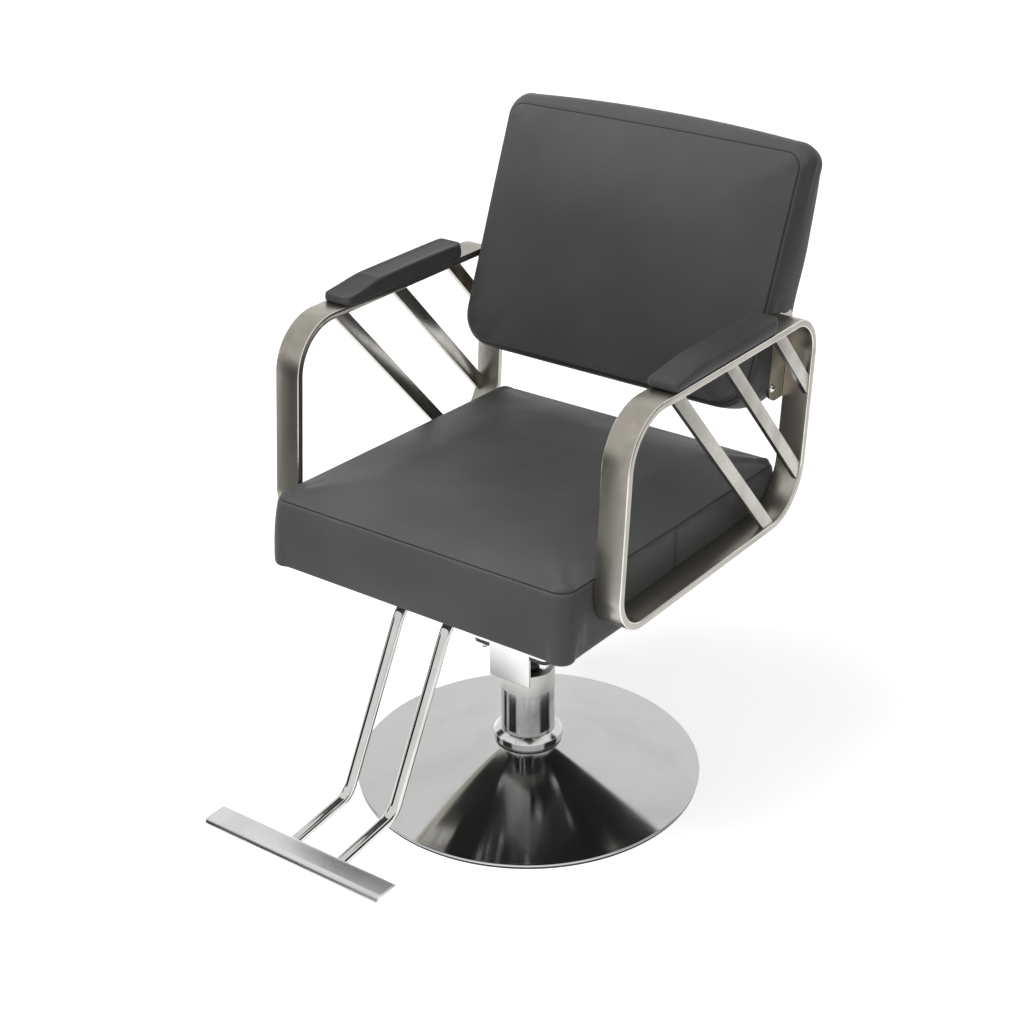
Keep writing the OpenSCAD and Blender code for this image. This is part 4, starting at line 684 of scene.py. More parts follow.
flange_x, flange_y, flange_top, plates_t = 0.0513, 0.0344, 0.225, 0.012
hex_r, head_h, shank_r, washer_r, nut_h = 0.0078, 0.0053, 0.0040, 0.0092, 0.0090
nut_z = -plates_t - nut_h
bolt_rings = [(head_h, hex_r * 0.80, False), (head_h - 0.0002, hex_r * 0.87, False),
              (head_h - 0.0011, hex_r, True), (0.0005, hex_r, True), (0.0005, hex_r * 0.9, False),
              (0, hex_r * 0.9, False), (0, shank_r, False), (-plates_t, shank_r, False),
              (-plates_t, washer_r, False), (-plates_t - 0.0012, washer_r, False),
              (-plates_t - 0.0020, hex_r, True), (nut_z + 0.0009, hex_r, True),
              (nut_z, hex_r * 0.86, False), (nut_z, shank_r, False),
              (nut_z - 0.0021, shank_r, False), (nut_z - 0.0025, shank_r * 0.88, False)]
bolt_zinc = polished("bright zinc", (0.86, 0.86, 0.85), (0.7, 0.7, 0.69), 0.10, 0.2, 60)
set_out("flange_bolts_and_nuts",
        [((x * flange_x, y * flange_y, flange_top), turn_to((0, 0, 1), 15 + 22 * x + 9 * y))
         for x in (-1, 1) for y in (-1, 1)],
        ring_stack("flange_bolt_one", bolt_rings, 24, bolt_zinc), bolt_zinc, "seat", "zinc",
        "flange_bolts")
dress(mount_plate=black_paint, mount_bolts=zinc)

# ---------------------------------------------------------------------------------------------
# Footrest
# Two bent chromed tubes are clamped under the seat and carry a flat oval bar of satin aluminium,
# drawn to shape, with a cap pressed into each end.
bend_y, bend_z, toe = -0.3552, 0.1343, math.radians(6)
tube_x, tube_r = 0.0382, 0.008
seat_tilt = math.radians(2.35)
board_z, mount_t, tube_end = 0.3693, 0.005, 0.056
tube_drop = mount_t + tube_r
rear = Vector((-tube_end * math.cos(seat_tilt) - tube_drop * math.sin(seat_tilt),
               board_z + tube_end * math.sin(seat_tilt) - tube_drop * math.cos(seat_tilt)))
leg_slope, toe_l = math.radians(61.1), 0.132
rise = rear.y - math.tan(seat_tilt) * (bend_y - rear.x) - bend_z
leg = rise / (math.sin(leg_slope) + math.tan(seat_tilt) * math.cos(leg_slope))
low_bend = Vector((bend_y, bend_z))
high_bend = low_bend + leg * Vector((math.cos(leg_slope), math.sin(leg_slope)))
toe_end = low_bend - toe_l * Vector((math.cos(toe), math.sin(toe)))


def bent_tube(name, line, radii, tube_radius, wall, finish, body, slot, node):
    """A tube along a bent line, made with curve nodes: fillet the corners, then sweep a ring."""
    tree, group_in, group_out, sockets = geometry_tree(
        name, ("Line", "Geometry"), ("Tube radius", "Float"), ("Steps in a bend", "Int"))
    add, wire = tree.nodes.new, tree.links.new
    to_curve, fillet, ring = (add("GeometryNodeMeshToCurve"), add("GeometryNodeFilletCurve"),
                              add("GeometryNodeCurvePrimitiveCircle"))
    fillet.mode = "POLY"
    ring.inputs["Resolution"].default_value = 40
    sweep, coat, real = (add("GeometryNodeCurveToMesh"), add("GeometryNodeSetMaterial"),
                         add("GeometryNodeRealizeInstances"))
    sweep.inputs["Fill Caps"].default_value = False
    coat.inputs["Material"].default_value = finish
    wire(group_in.outputs["Line"], to_curve.inputs["Mesh"])
    wire(to_curve.outputs["Curve"], fillet.inputs["Curve"])
    wire(named_attribute(tree, "FLOAT", "bend"), fillet.inputs["Radius"])
    wire(group_in.outputs["Steps in a bend"], fillet.inputs["Count"])
    wire(group_in.outputs["Tube radius"], ring.inputs["Radius"])
    wire(fillet.outputs["Curve"], sweep.inputs["Curve"])
    wire(ring.outputs["Curve"], sweep.inputs["Profile Curve"])
    wire(sweep.outputs["Mesh"], real.inputs["Geometry"])
    wire(real.outputs["Geometry"], coat.inputs["Geometry"])
    wire(coat.outputs["Geometry"], group_out.inputs["Geometry"])
    base = bpy.data.meshes.new(name + "_line")
    base.from_pydata(line, [(i, i + 1) for i in range(len(line) - 1)], [])
    bends = base.attributes.new("bend", "FLOAT", "POINT")
    for i, r in enumerate(radii):
        bends.data[i].value = r
    swept = made_by_nodes(name, base, tree, Tube_radius=tube_radius, Steps_in_a_bend=12)
    # The open ends get a wall: an inner skin a short way in, and a rounded lip
    work = bmesh.new()
    work.from_mesh(swept)
    bmesh.ops.recalc_face_normals(work, faces=work.faces)
    rims = [e for e in work.edges if e.is_boundary]
    grown = bmesh.ops.extrude_edge_only(work, edges=rims)["geom"]
    verts = [g for g in grown if isinstance(g, bmesh.types.BMVert)]
    for end in (Vector(line[0]), Vector(line[-1])):
        near = [v for v in verts if (v.co - end).length < 2 * tube_radius]
        for v in near:
            v.co = end + (v.co - end) * (tube_radius - wall) / tube_radius
    lips = [g for g in grown if isinstance(g, bmesh.types.BMEdge) and g.is_boundary]
    grown = bmesh.ops.extrude_edge_only(work, edges=lips)["geom"]
    verts = [g for g in grown if isinstance(g, bmesh.types.BMVert)]
    for end, nearby in ((Vector(line[0]), Vector(line[1])), (Vector(line[-1]), Vector(line[-2]))):
        inward = (nearby - end).normalized() * wall * 8
        for v in verts:
            if (v.co - end).length < 2 * tube_radius:
                v.co += inward
    lips = [g for g in grown if isinstance(g, bmesh.types.BMEdge) and g.is_boundary]
    bmesh.ops.holes_fill(work, edges=lips)
    bmesh.ops.recalc_face_normals(work, faces=work.faces)
    return link_mesh(name, mesh_from(work, name, finish), body, slot, node)


tube_finish = polished("tube chrome", (0.62, 0.615, 0.60), (0.55, 0.54, 0.52), 0.03, 0.08, 16)
for side, letter in ((-1, "l"), (1, "r")):
    bent_tube("footrest_tube_" + letter,
              [(side * tube_x, p.x, p.y)
               for p in (rear, high_bend, low_bend, toe_end)],
              [0, 0.036, 0.032, 0], tube_r, 0.0015, tube_finish, "seat", "chrome",
              "foot_tube_" + letter)

bar_half, bar_at, bar_d, bar_t, bar_round, bar_cap_t = 0.141, 0.137, 0.040, 0.0195, 0.0088, 0.003
bar_z = tube_r - 0.0002 + bar_t / 2
bar_place = (Matrix.Translation((0, bend_y, bend_z)) @ Matrix.Rotation(toe, 4, "X")
             @ Matrix.Scale(-1, 4, (0, 1, 0)) @ Matrix.Translation((0, bar_at, bar_z))
             @ Matrix.Rotation(toe, 4, "X"))


def swept_section(name, section, stations, place, finish):
    """A straight bar along X: a section of depth and height, shrunk by an inset at each station."""
    count = len(section)
    points = []
    for x, inset in stations:
        for i, (u, v) in enumerate(section):
            a, b = Vector(section[i - 1]), Vector(section[(i + 1) % count])
            normal = Vector(((b - a).y, -(b - a).x)).normalized()
            points.append(place @ Vector((x, u - inset * normal.x, v - inset * normal.y)))
    return closed_mesh(name, points, ring_faces(len(stations), count), finish)


def joined(name, parts, finish):
    """One mesh of several parts in one finish."""
    work = bmesh.new()
    for part in parts:
        work.from_mesh(part)
    return mesh_from(work, name, finish)


bar_section = rounded_corners(
    [(-bar_d / 2, -bar_t / 2), (bar_d / 2, -bar_t / 2), (bar_d / 2, bar_t / 2),
     (-bar_d / 2, bar_t / 2)],
    [bar_round] * 4, 12)
alu = brushed("satin aluminium", (0.72, 0.72, 0.72), (0.62, 0.62, 0.62), 0.24, 0.34,
              (3, 700, 700))
link_mesh("footrest_bar", swept_section(
    "footrest_bar", bar_section,
    [(-bar_half, 0.0003), (-bar_half + 0.0003, 0), (bar_half - 0.0003, 0), (bar_half, 0.0003)],
    bar_place, alu), "seat", "alu", "foot_bar")
cap_alu = brushed("end cap aluminium", (0.95, 0.95, 0.95), (0.88, 0.88, 0.88), 0.30, 0.42,
                  (400, 6, 6))
cap_points = [(bar_half + 0.0001, 0.0), (bar_half + bar_cap_t - 0.0009, 0.0),
              (bar_half + bar_cap_t - 0.0004, 0.0002), (bar_half + bar_cap_t, 0.0009)]
caps = [swept_section("bar_cap", bar_section, [(side * x, inset) for x, inset in cap_points],
                      bar_place, cap_alu) for side in (-1, 1)]
link_mesh("bar_end_caps", joined("bar_end_caps", caps, cap_alu), "seat", "alu", "bar_caps")
plastic = rough_coat("black plastic", (0.02, 0.02, 0.021), (0.04, 0.04, 0.04), 0.4, 0.6, 0.0, 40,
                     0.001)
dress(tube_clamps=black_paint, clamp_bolts=zinc, foot_screws=zinc, tube_plugs=plastic)

# ---------------------------------------------------------------------------------------------
# Seat board
# Plywood with the bolts of the pedestal and of the arms through it; the cushion is pulled down
# over it and stapled, and a black dust cloth covers all that shows of the wood.
ply, ply_tree, ply_shader = open_finish("birch plywood", (0.56, 0.40, 0.24), 0.6)
ply_place = object_coordinates(ply_tree, (4, 30, 700))
ply_marks = wear(ply_tree, ply_shader, ply_place, 1.4, (0.60, 0.44, 0.27), (0.40, 0.26, 0.14),
                 0.5, 0.75)
raise_bumps(ply_tree, ply_shader, ply_marks.outputs["Mask"], 0.3, 0.0003)
underside = rough_coat("black dust cloth", (0.012, 0.012, 0.012), (0.02, 0.02, 0.02), 0.8, 0.95,
                       0.0, 18, 0.0009, 0.8)
dress(seat_board=underside)

# ---------------------------------------------------------------------------------------------
# Arms
# Each arm is a flat stainless bar, 40 by 10, bent to a closed loop and welded, brushed on its
# faces and polished on its edges, with a painted highlight along its rounded corners. Three flat
# bars cross the loop and are welded inside it.
band_x, band_w, band_t = 0.240, 0.040, 0.010
loop_low_front = Vector((-0.2009, 0.3970))
loop_l, loop_fall, loop_lean, loop_tall = 0.4655, 0.0062, 0.0244, 0.2925
loop_low_back = loop_low_front + Vector((loop_l, -loop_fall))
loop_high_back = loop_low_back + Vector((loop_lean, loop_tall))
loop_high_front = loop_low_front + Vector((loop_lean, loop_tall))
loop_radii = [0.054, 0.082, 0.056, 0.078]
loop_steps = 24

nickel = brushed("brushed stainless", (0.46, 0.435, 0.385), (0.30, 0.28, 0.235), 0.27, 0.38,
                 (9, 900, 1), use_uv=True)
nickel_edge = brushed("brushed edge", (0.46, 0.44, 0.40), (0.34, 0.32, 0.28), 0.18, 0.26,
                      (9, 900, 1), use_uv=True)
# Rounded corners: polished, and also painted lighter than the faces as a highlight
corner_polish_and_painted_highlight = polished("polished corner with painted highlight", (0.72, 0.70, 0.66), (0.6, 0.58, 0.54), 0.12, 0.2, 20)


def shrunk_loop(inset):
    """The loop's outline in side view, moved in by an inset."""
    fall = (loop_low_back - loop_low_front).normalized()
    lean = (loop_high_front - loop_low_front).normalized()
    step = inset / abs(fall.x * lean.y - fall.y * lean.x)
    corners = [loop_low_front + step * (fall + lean), loop_low_back + step * (lean - fall),
               loop_high_back - step * (fall + lean), loop_high_front + step * (fall - lean)]
    return rounded_corners(corners, [r - inset for r in loop_radii], loop_steps)


def band_section():
    """The band's section: the distance from its middle, and the depth below its outer face."""
    round_r = 0.0013
    wide, low_y, high_y = band_w / 2 - round_r, round_r, band_t - round_r
    line = []
    for x, y, start in ((wide, low_y, -90), (wide, high_y, 0), (-wide, high_y, 90),
                        (-wide, low_y, 180)):
        line += arc((x, y), round_r, start, start + 90, 3)
    return line


def flat_band(name, side, body, node):
    """A closed loop of flat bar with rounded edges, and its length laid out for the brushing."""
    section = band_section()
    rows = [[Vector((p[0], p[1])) for p in shrunk_loop(depth)] for depth in (0.0, band_t)]
    stations, count = len(rows[0]), len(section)
    run = [0.0]
    for i in range(stations):
        run.append(run[-1] + (rows[0][(i + 1) % stations] - rows[0][i]).length)
    around = [0.0]
    for k in range(count):
        a, b = Vector(section[k]), Vector(section[(k + 1) % count])
        around.append(around[-1] + (b - a).length)
    work = bmesh.new()
    sheet = work.loops.layers.uv.new("length")
    grid = []
    for i in range(stations):
        ring = []
        for x, depth in section:
            p = rows[0][i].lerp(rows[1][i], depth / band_t)
            ring.append(work.verts.new((side * (band_x + band_w / 2 + x), p.x, p.y)))
        grid.append(ring)
    for i in range(stations):
        j = (i + 1) % stations
        for k in range(count):
            n = (k + 1) % count
            face = work.faces.new((grid[i][k], grid[j][k], grid[j][n], grid[i][n]))
            spots = ((run[i], around[k]), (run[i + 1], around[k]), (run[i + 1], around[k + 1]),
                     (run[i], around[k + 1]))
            for loop, spot in zip(face.loops, spots):
                loop[sheet].uv = spot
            across = abs(section[k][0] - section[n][0])
            deep = abs(section[k][1] - section[n][1])
            # Broad faces, side faces, then the rounded corners that carry the painted highlight
            face.material_index = 0 if across > band_w / 2 else 1 if deep > band_t / 2 else 2
    bmesh.ops.recalc_face_normals(work, faces=work.faces)
    return link_mesh(name, mesh_from(work, name, nickel, nickel_edge, corner_polish_and_painted_highlight), body,
                     "stainless", node, smooth=40)


def clipped(polygon, fence):
    """A polygon cut to the inside of a convex outline that runs counterclockwise."""
    result = [Vector(p) for p in polygon]
    for i in range(len(fence)):
        a, b = Vector(fence[i]), Vector(fence[(i + 1) % len(fence)])
        if (b - a).length < 1e-9:
            continue
        kept = []
        for k in range(len(result)):
            p, q = result[k], result[(k + 1) % len(result)]
            dp = (b - a).x * (p - a).y - (b - a).y * (p - a).x
            dq = (b - a).x * (q - a).y - (b - a).y * (q - a).x
            if dp >= 0:
                kept.append(p)
            if (dp >= 0) != (dq >= 0):
                kept.append(p + (q - p) * (dp / (dp - dq)))
        result = kept
    return [(p.x, p.y) for p in result]


slat_w, slat_t, slat_inset, slat_slope = 0.020, 0.008, 0.002, math.radians(48.2)
slat_at, slat_pitch, slat_count = Vector((-0.067, 0.677)), 0.1247, 3
bar_nickel = brushed("brushed slats", (0.52, 0.505, 0.47), (0.38, 0.36, 0.32), 0.24, 0.34,
                     (1, 40, 40))
fence = shrunk_loop(band_t - 0.0002)
down = Vector((math.cos(slat_slope), -math.sin(slat_slope)))
out = Vector((math.sin(slat_slope), math.cos(slat_slope)))
slat_low = band_x + band_w - slat_inset - slat_t
for side, letter in ((-1, "l"), (1, "r")):
    flat_band("arm_band_" + letter, side, "seat", "arm_loop_" + letter)
    slats = []
    for i in range(slat_count):
        start = slat_at + Vector((i * slat_pitch, 0))
        bar = [start + down * s + out * t for s, t in
               ((-0.3, -slat_w / 2), (0.6, -slat_w / 2), (0.6, slat_w / 2), (-0.3, slat_w / 2))]
        slats.append(plate_piece("slat", clipped(bar, fence), side * slat_low,
                                 side * (slat_low + slat_t), 0.0009, "x", bar_nickel))
    link_mesh("arm_bars_" + letter, joined("arm_bars_" + letter, slats, bar_nickel), "seat",
              "stainless", "arm_slats_" + letter)
dress(arm_tabs=bar_nickel, arm_bolts=zinc, pad_boards=ply, pad_screws=zinc)

# ---------------------------------------------------------------------------------------------
# Back brackets
# Stainless plates welded to the rear uprights of the arms; two domed bolts go through each into
# the wooden frame of the back.
bracket_t, bracket_w, bracket_tall = 0.004, 0.050, 0.128
bracket_low = Vector((0.2280, 0.5537))
bracket_across = Vector((bracket_w, 0))
bracket_up = Vector((bracket_tall * loop_lean / loop_tall, bracket_tall))
bracket_line = rounded_corners(
    [bracket_low, bracket_low + bracket_across, bracket_low + bracket_across + bracket_up,
     bracket_low + bracket_up], [0.021, 0.006, 0.021, 0.021], 10)
bracket_metal = brushed("bracket stainless", (0.46, 0.43, 0.375), (0.33, 0.30, 0.25), 0.16, 0.26,
                        (1, 500, 20))
for side, letter in ((-1, "l"), (1, "r")):
    link_mesh("bracket_" + letter,
              plate_piece("bracket_" + letter, bracket_line, side * (band_x - bracket_t),
                          side * (band_x - 0.00005), 0.0006, "x", bracket_metal),
              "seat", "stainless", "back_bracket_" + letter)


def dome_rings(radius, height, socket_r, steps=8):
    """Rings of a domed head with a hexagonal socket."""
    ball = (radius ** 2 + height ** 2) / (2 * height)
    rings = [(0.0, radius * 0.985, False), (0.0003, radius, False)]
    radii = [radius * (1 - i / steps) for i in range(1, steps)]
    rings += [(height - ball + math.sqrt(ball ** 2 - r ** 2), r, False) for r in radii
              if r > socket_r * 1.25]
    return rings + [(height - drop, socket_r * share, True)
                    for drop, share in ((0.0001, 1.15), (0.0003, 1.1), (0.0018, 1.1))]


bolt_chrome = polished("bolt chrome", (0.70, 0.70, 0.69), (0.6, 0.6, 0.58), 0.05, 0.12, 60)
set_out("bracket_bolt_heads",
        [((side * (band_x + 0.0001), 0.240 + i * 0.010, 0.575 + i * 0.077),
          turn_to((side, 0, 0), 12 + 31 * i)) for side in (-1, 1) for i in (0, 1)],
        ring_stack("bracket_bolt_one", dome_rings(0.007, 0.0036, 0.0022), 24, bolt_chrome),
        bolt_chrome, "seat", "chrome", "bracket_bolts")
dress(back_frame=ply)

# ---------------------------------------------------------------------------------------------
# Upholstery
# Soft grey artificial leather, sewn over foam. A cover is a boxed case: a top panel, a seam with
# its stitches just below the edge, and side panels that are pulled under the board.
grain_tree, grain_in, grain_out = shade_group(
    "leather grain",
    [("Vector", ARROW, None), ("Pebbles", NUMBER, 900.0), ("Clouds", NUMBER, 7.0)],
    [("Height", NUMBER), ("Crease", NUMBER), ("Tone", NUMBER)])
pebbles = grain_tree.nodes.new("ShaderNodeTexVoronoi")
pebbles.feature = "DISTANCE_TO_EDGE"
grain_at = grain_in.outputs["Vector"]
warp_add = grain_tree.nodes.new("ShaderNodeVectorMath")
warp_add.operation = "MULTIPLY_ADD"
warp_add.inputs[1].default_value = (0.002, 0.002, 0.002)
grain_tree.links.new(noise(grain_tree, grain_at, 160, 2).outputs["Color"], warp_add.inputs[0])
grain_tree.links.new(grain_at, warp_add.inputs[2])
grain_tree.links.new(warp_add.outputs[0], pebbles.inputs["Vector"])
grain_tree.links.new(grain_in.outputs["Pebbles"], pebbles.inputs["Scale"])
pebble_height = spread(grain_tree, pebbles.outputs["Distance"], 0.0, 0.22, 0.0, 1.0)
pores = noise(grain_tree, grain_at, 1500, 2).outputs["Fac"]
clouds = noise(grain_tree, grain_at, grain_in.outputs["Clouds"], 4).outputs["Fac"]
for name, result in (
        ("Height", worked_out(grain_tree, "MULTIPLY_ADD", pores, 0.45, pebble_height)),
        ("Crease", pebble_height), ("Tone", spread(grain_tree, clouds, 0.35, 0.65, 0.0, 1.0))):
    grain_tree.links.new(result, grain_out.inputs[name])


def leather(name, light, dark, smooth, rough):
    """Grained artificial leather: pebbles, painted shade in the creases of the grain, and a slow
    change of tone.
    """
    finish, tree, shader = open_finish(name, light, smooth)
    place = object_coordinates(tree)
    grain = place_group(tree, grain_tree, place)
    tone = blend_colours(tree, grain.outputs["Tone"], light, dark)
    # Painted shade: the hollows of the grain are darkened in the colour
    crease = spread(tree, grain.outputs["Crease"], 0.0, 0.5, 0.35, 0.0)
    tree.links.new(blend_colours(tree, crease, tone, tuple(c * 0.55 for c in dark)),
                   shader.inputs["Base Color"])
    tree.links.new(spread(tree, grain.outputs["Tone"], 0.0, 1.0, smooth, rough),
                   shader.inputs["Roughness"])
    shader.inputs["Specular IOR Level"].default_value = 0.12
    raise_bumps(tree, shader, grain.outputs["Height"], 0.2, 0.0002)
    return finish


grey_leather = leather("grey leather", (0.090, 0.090, 0.090), (0.075, 0.075, 0.075), 0.38, 0.48)
thread = rough_coat("dark thread", (0.008, 0.008, 0.008), (0.014, 0.014, 0.014), 0.6, 0.8, 0.0, 300,
                    0.0003)


def spaced(half, fine, coarse, margin):
    """Places from -half to half with fine steps near both ends."""
    near = [-half + fine * i for i in range(int(round(margin / fine)) + 1)]
    middle = -near[-1]
    count = max(2, round(2 * middle / coarse))
    between = [-middle + 2 * middle * i / count for i in range(1, count)]
    return near + between + [-q for q in reversed(near)]


class Panels:
    """A closed case of cloth: a front grid, rows of side loops, and a rear grid."""

    def __init__(self, half_u, half_v, corners, rows, fine=0.004, coarse=0.009, margin=0.028):
        self.us = spaced(half_u, fine, coarse, margin)
        self.vs = spaced(half_v, fine, coarse, margin)
        self.half = (half_u, half_v)
        self.corners = corners
        nu, nv = len(self.us), len(self.vs)
        rim = ([(i, 0) for i in range(nu)] + [(nu - 1, j) for j in range(1, nv)]
               + [(i, nv - 1) for i in range(nu - 2, -1, -1)]
               + [(0, j) for j in range(nv - 2, 0, -1)])
        self.points, self.kind, self.faces = [], [], []
        front = {(i, j): self.add(self.spot(u, v), ("front", 0))
                 for i, u in enumerate(self.us) for j, v in enumerate(self.vs)}
        self.faces += [(front[i, j], front[i + 1, j], front[i + 1, j + 1], front[i, j + 1])
                       for i in range(nu - 1) for j in range(nv - 1)]
        loop = [front[c] for c in rim]
        plan = [self.spot(self.us[i], self.vs[j]) + self.outward(self.us[i], self.vs[j])
                for i, j in rim]
        self.loops = [loop]
        for row in range(rows):
            here = [self.add(p, ("side", row)) for p in plan]
            for k in range(len(rim)):
                m = (k + 1) % len(rim)
                self.faces.append((loop[m], loop[k], here[k], here[m]))
            loop = here
            self.loops.append(loop)
        back = dict(zip(rim, loop))
        for i, u in enumerate(self.us):
            for j, v in enumerate(self.vs):
                if (i, j) not in back:
                    back[i, j] = self.add(self.spot(u, v), ("rear", 0))
        self.faces += [(back[i, j], back[i, j + 1], back[i + 1, j + 1], back[i + 1, j])
                       for i in range(nu - 1) for j in range(nv - 1)]

    def add(self, point, kind):
        """Adds a plan point of a kind, and gives its number."""
        self.points.append(point)
        self.kind.append(kind)
        return len(self.points) - 1

    def corner_of(self, u, v):
        """The corner block that a point lies in: its radius and its place in the block."""
        r = self.corners[(1 if u < 0 else 0) if v > 0 else (2 if u < 0 else 3)]
        p = (abs(u) - (self.half[0] - r)) / r
        q = (abs(v) - (self.half[1] - r)) / r
        return r, p, q

    def spot(self, u, v):
        """The plan point of a grid point, with the panel's corners rounded."""
        r, p, q = self.corner_of(u, v)
        if p <= 0 or q <= 0:
            return (u, v)
        x = self.half[0] - r + r * p * math.sqrt(1 - q * q / 2)
        y = self.half[1] - r + r * q * math.sqrt(1 - p * p / 2)
        return (math.copysign(x, u), math.copysign(y, v))

    def outward(self, u, v):
        """The outward direction at a point of the rim."""
        r, p, q = self.corner_of(u, v)
        if p > 0 and q > 0:
            n = Vector((p * math.sqrt(1 - q * q / 2), q * math.sqrt(1 - p * p / 2))).normalized()
            return (math.copysign(n.x, u), math.copysign(n.y, v))
        if abs(abs(u) - self.half[0]) < 1e-9:
            return (math.copysign(1, u), 0)
        return (0, math.copysign(1, v))


def smooth_step(x):
    """0 to 1 with soft ends."""
    x = min(1.0, max(0.0, x))
    return x * x * (3 - 2 * x)


def sew_case(name, case, shape, puff, cap, held, keep):
    """Makes the case's mesh, puffs it up as sewn cloth, and gives the mesh.
    shape(point, kind) gives a point's place; held(kind) says how firmly the seams hold it; keep
    moves a simulated point back inside its room."""
    points = [Vector(shape(p, k)) for p, k in zip(case.points, case.kind)]
    mesh = bpy.data.meshes.new(name)
    mesh.from_pydata(points, [], case.faces)
    piece = placed(name, mesh)
    group = piece.vertex_groups.new(name="held")
    for i, kind in enumerate(case.kind):
        group.add([i], held(kind), "REPLACE")
    cloth = piece.modifiers.new("cloth", "CLOTH")
    for setting, value in (
            ("vertex_group_mass", "held"), ("pin_stiffness", 8), ("use_pressure", True),
            ("uniform_pressure_force", puff), ("quality", 6), ("tension_stiffness", 18),
            ("compression_stiffness", 18), ("shear_stiffness", 8),
            ("bending_stiffness", 1.2)):
        setattr(cloth.settings, setting, value)
    cloth.settings.effector_weights.gravity = 0
    last = 20
    cloth.point_cache.frame_start = 1
    cloth.point_cache.frame_end = last
    for step in range(1, last + 1):
        bpy.context.scene.frame_set(step)
    solved = bpy.data.meshes.new_from_object(
        piece.evaluated_get(bpy.context.evaluated_depsgraph_get()))
    for i, vert in enumerate(solved.vertices):
        move = vert.co - points[i]
        if move.length > cap:
            move *= cap / move.length
        mesh.vertices[i].co = points[i] + move
    bpy.data.meshes.remove(solved)
    bpy.context.scene.frame_set(1)
    bpy.data.objects.remove(piece)
    for vert in mesh.vertices:
        vert.co = keep(vert.co)
    return mesh


def subdivided(mesh):
    """The mesh with one smooth subdivision applied."""
    piece = placed("smoothing", mesh)
    smooth = piece.modifiers.new("smooth", "SUBSURF")
    smooth.levels = smooth.render_levels = 1
    return applied(piece)


def stitch_mesh(name, length, thick, finish):
    """One stitch: a short rounded length of thread that dips at its ends."""
    sides, rows = 6, 5
    points = []
    for k in range(rows):
        t = k / (rows - 1)
        r = thick * (0.35 + 0.65 * math.sin(math.pi * (0.12 + 0.76 * t)))
        lift = thick * 1.2 * math.sin(math.pi * t) - thick * 0.5
        for i in range(sides):
            a = 2 * math.pi * i / sides
            points.append(((t - 0.5) * length, r * math.cos(a), lift + r * math.sin(a)))
    return closed_mesh(name, points, ring_faces(rows, sides), finish)


def resampled(line, pitch, closed):
    """Points at an even pitch along a line, each with its direction."""
    spots = list(line) + ([line[0]] if closed else [])
    run = [0.0]
    for a, b in zip(spots, spots[1:]):
        run.append(run[-1] + (b - a).length)
    count = int(run[-1] / pitch)
    out_spots, k = [], 0
    for i in range(count):
        s = (i + 0.5) * run[-1] / count
        while run[k + 1] < s:
            k += 1
        t = (s - run[k]) / (run[k + 1] - run[k])
        out_spots.append((spots[k].lerp(spots[k + 1], t), (spots[k + 1] - spots[k]).normalized()))
    return out_spots


def seam_of(mesh, case, outward_of, proud=0.0004):
    """The line of a sewn seam on the smoothed cover, a little proud of it."""
    line = []
    for a, b, c in zip(*case.loops[1:4]):
        spot = (mesh.vertices[b].co * 0.75 + mesh.vertices[a].co * 0.125
                + mesh.vertices[c].co * 0.125)
        line.append(spot + outward_of(spot) * proud)
    return line


thread_r = 0.00058


def lay_stitches(name, line, outward_of, body, pitch=0.0046, length=0.0036, closed=True):
    """Lays stitches along a line, each along the seam and facing out of the cover."""
    spots = []
    for place, along in resampled(line, pitch, closed):
        out_dir = outward_of(place)
        out_dir = (out_dir - along * out_dir.dot(along)).normalized()
        frame_of = Matrix((along, out_dir.cross(along), out_dir)).transposed()
        spots.append((place, frame_of.to_euler()))
    return set_out(name, spots, stitch_mesh(name + "_one", length, thread_r, thread), thread, body,
                   "grey_leather", smooth=60)


def held_by(rows, tight_rows):
    """Says how firmly a cover is held: its underside and its last rows tightly, its seam well,
    and its panels hardly at all."""
    def hold(kind):
        if kind[0] == "rear" or kind[0] == "side" and kind[1] >= len(rows) - tight_rows:
            return 1.0
        return 0.9 if kind[0] == "side" and kind[1] < 3 else 0.02
    return hold


def puckers(du, dv, fans, reach):
    """Depth of the creases that fan out from a sewn corner, each a direction and a depth."""
    push = 0.0
    for a0, amount in fans:
        along = -(du * math.cos(a0) + dv * math.sin(a0))
        off = abs(-du * math.sin(a0) + dv * math.cos(a0))
        if along > 0:
            push += (amount * math.exp(-(off / 0.006) ** 2) * math.exp(-along / reach)
                     * smooth_step(along / 0.008))
    return push


def rolled(near, reach):
    """Rise of a panel's edge, 0 at its seam and 1 from a reach inwards, in a quarter circle."""
    return math.sqrt(max(0.0, 1 - (1 - min(1.0, max(0.0, near) / reach)) ** 2))


# ---------------------------------------------------------------------------------------------
# Seat cushion
# A boxed foam cushion, 480 wide and 527 deep, crowned on top. Its top seam runs round just below
# the edge, and a short seam joins the side panels half way along each side.
seat_half = (0.2397, 0.2633)
seat_mid, seat_side, seat_crown = 0.0059, 0.095, 0.015
seat_place = Matrix.Translation((0, 0, board_z)) @ Matrix.Rotation(-seat_tilt, 4, "X")
seat_rows = [(0.0034, 0.0946, 0), (0.0050, 0.0926, 0), (0.0014, 0.0914, 0), (0.0004, 0.0892, 0.05),
             (0.0, 0.0850, 0.12), (-0.0006, 0.0770, 0.24), (-0.0010, 0.0680, 0.36),
             (-0.0012, 0.0590, 0.48), (-0.0012, 0.0500, 0.58), (-0.0010, 0.0410, 0.68),
             (-0.0008, 0.0320, 0.77), (-0.0005, 0.0230, 0.85), (-0.0002, 0.0150, 0.92),
             (0.0, 0.0080, 0.97), (0.0003, 0.0020, 1.0), (0.0010, -0.0018, 1.0),
             (0.0030, -0.0032, 0.96), (0.0062, -0.0026, 0.9)]
seat_fill, seat_corner, seat_roll, seat_shrink = 0.0072, 0.026, 0.0045, 0.0040
seat_case = Panels(seat_half[0], seat_half[1], [seat_corner] * 4, len(seat_rows))


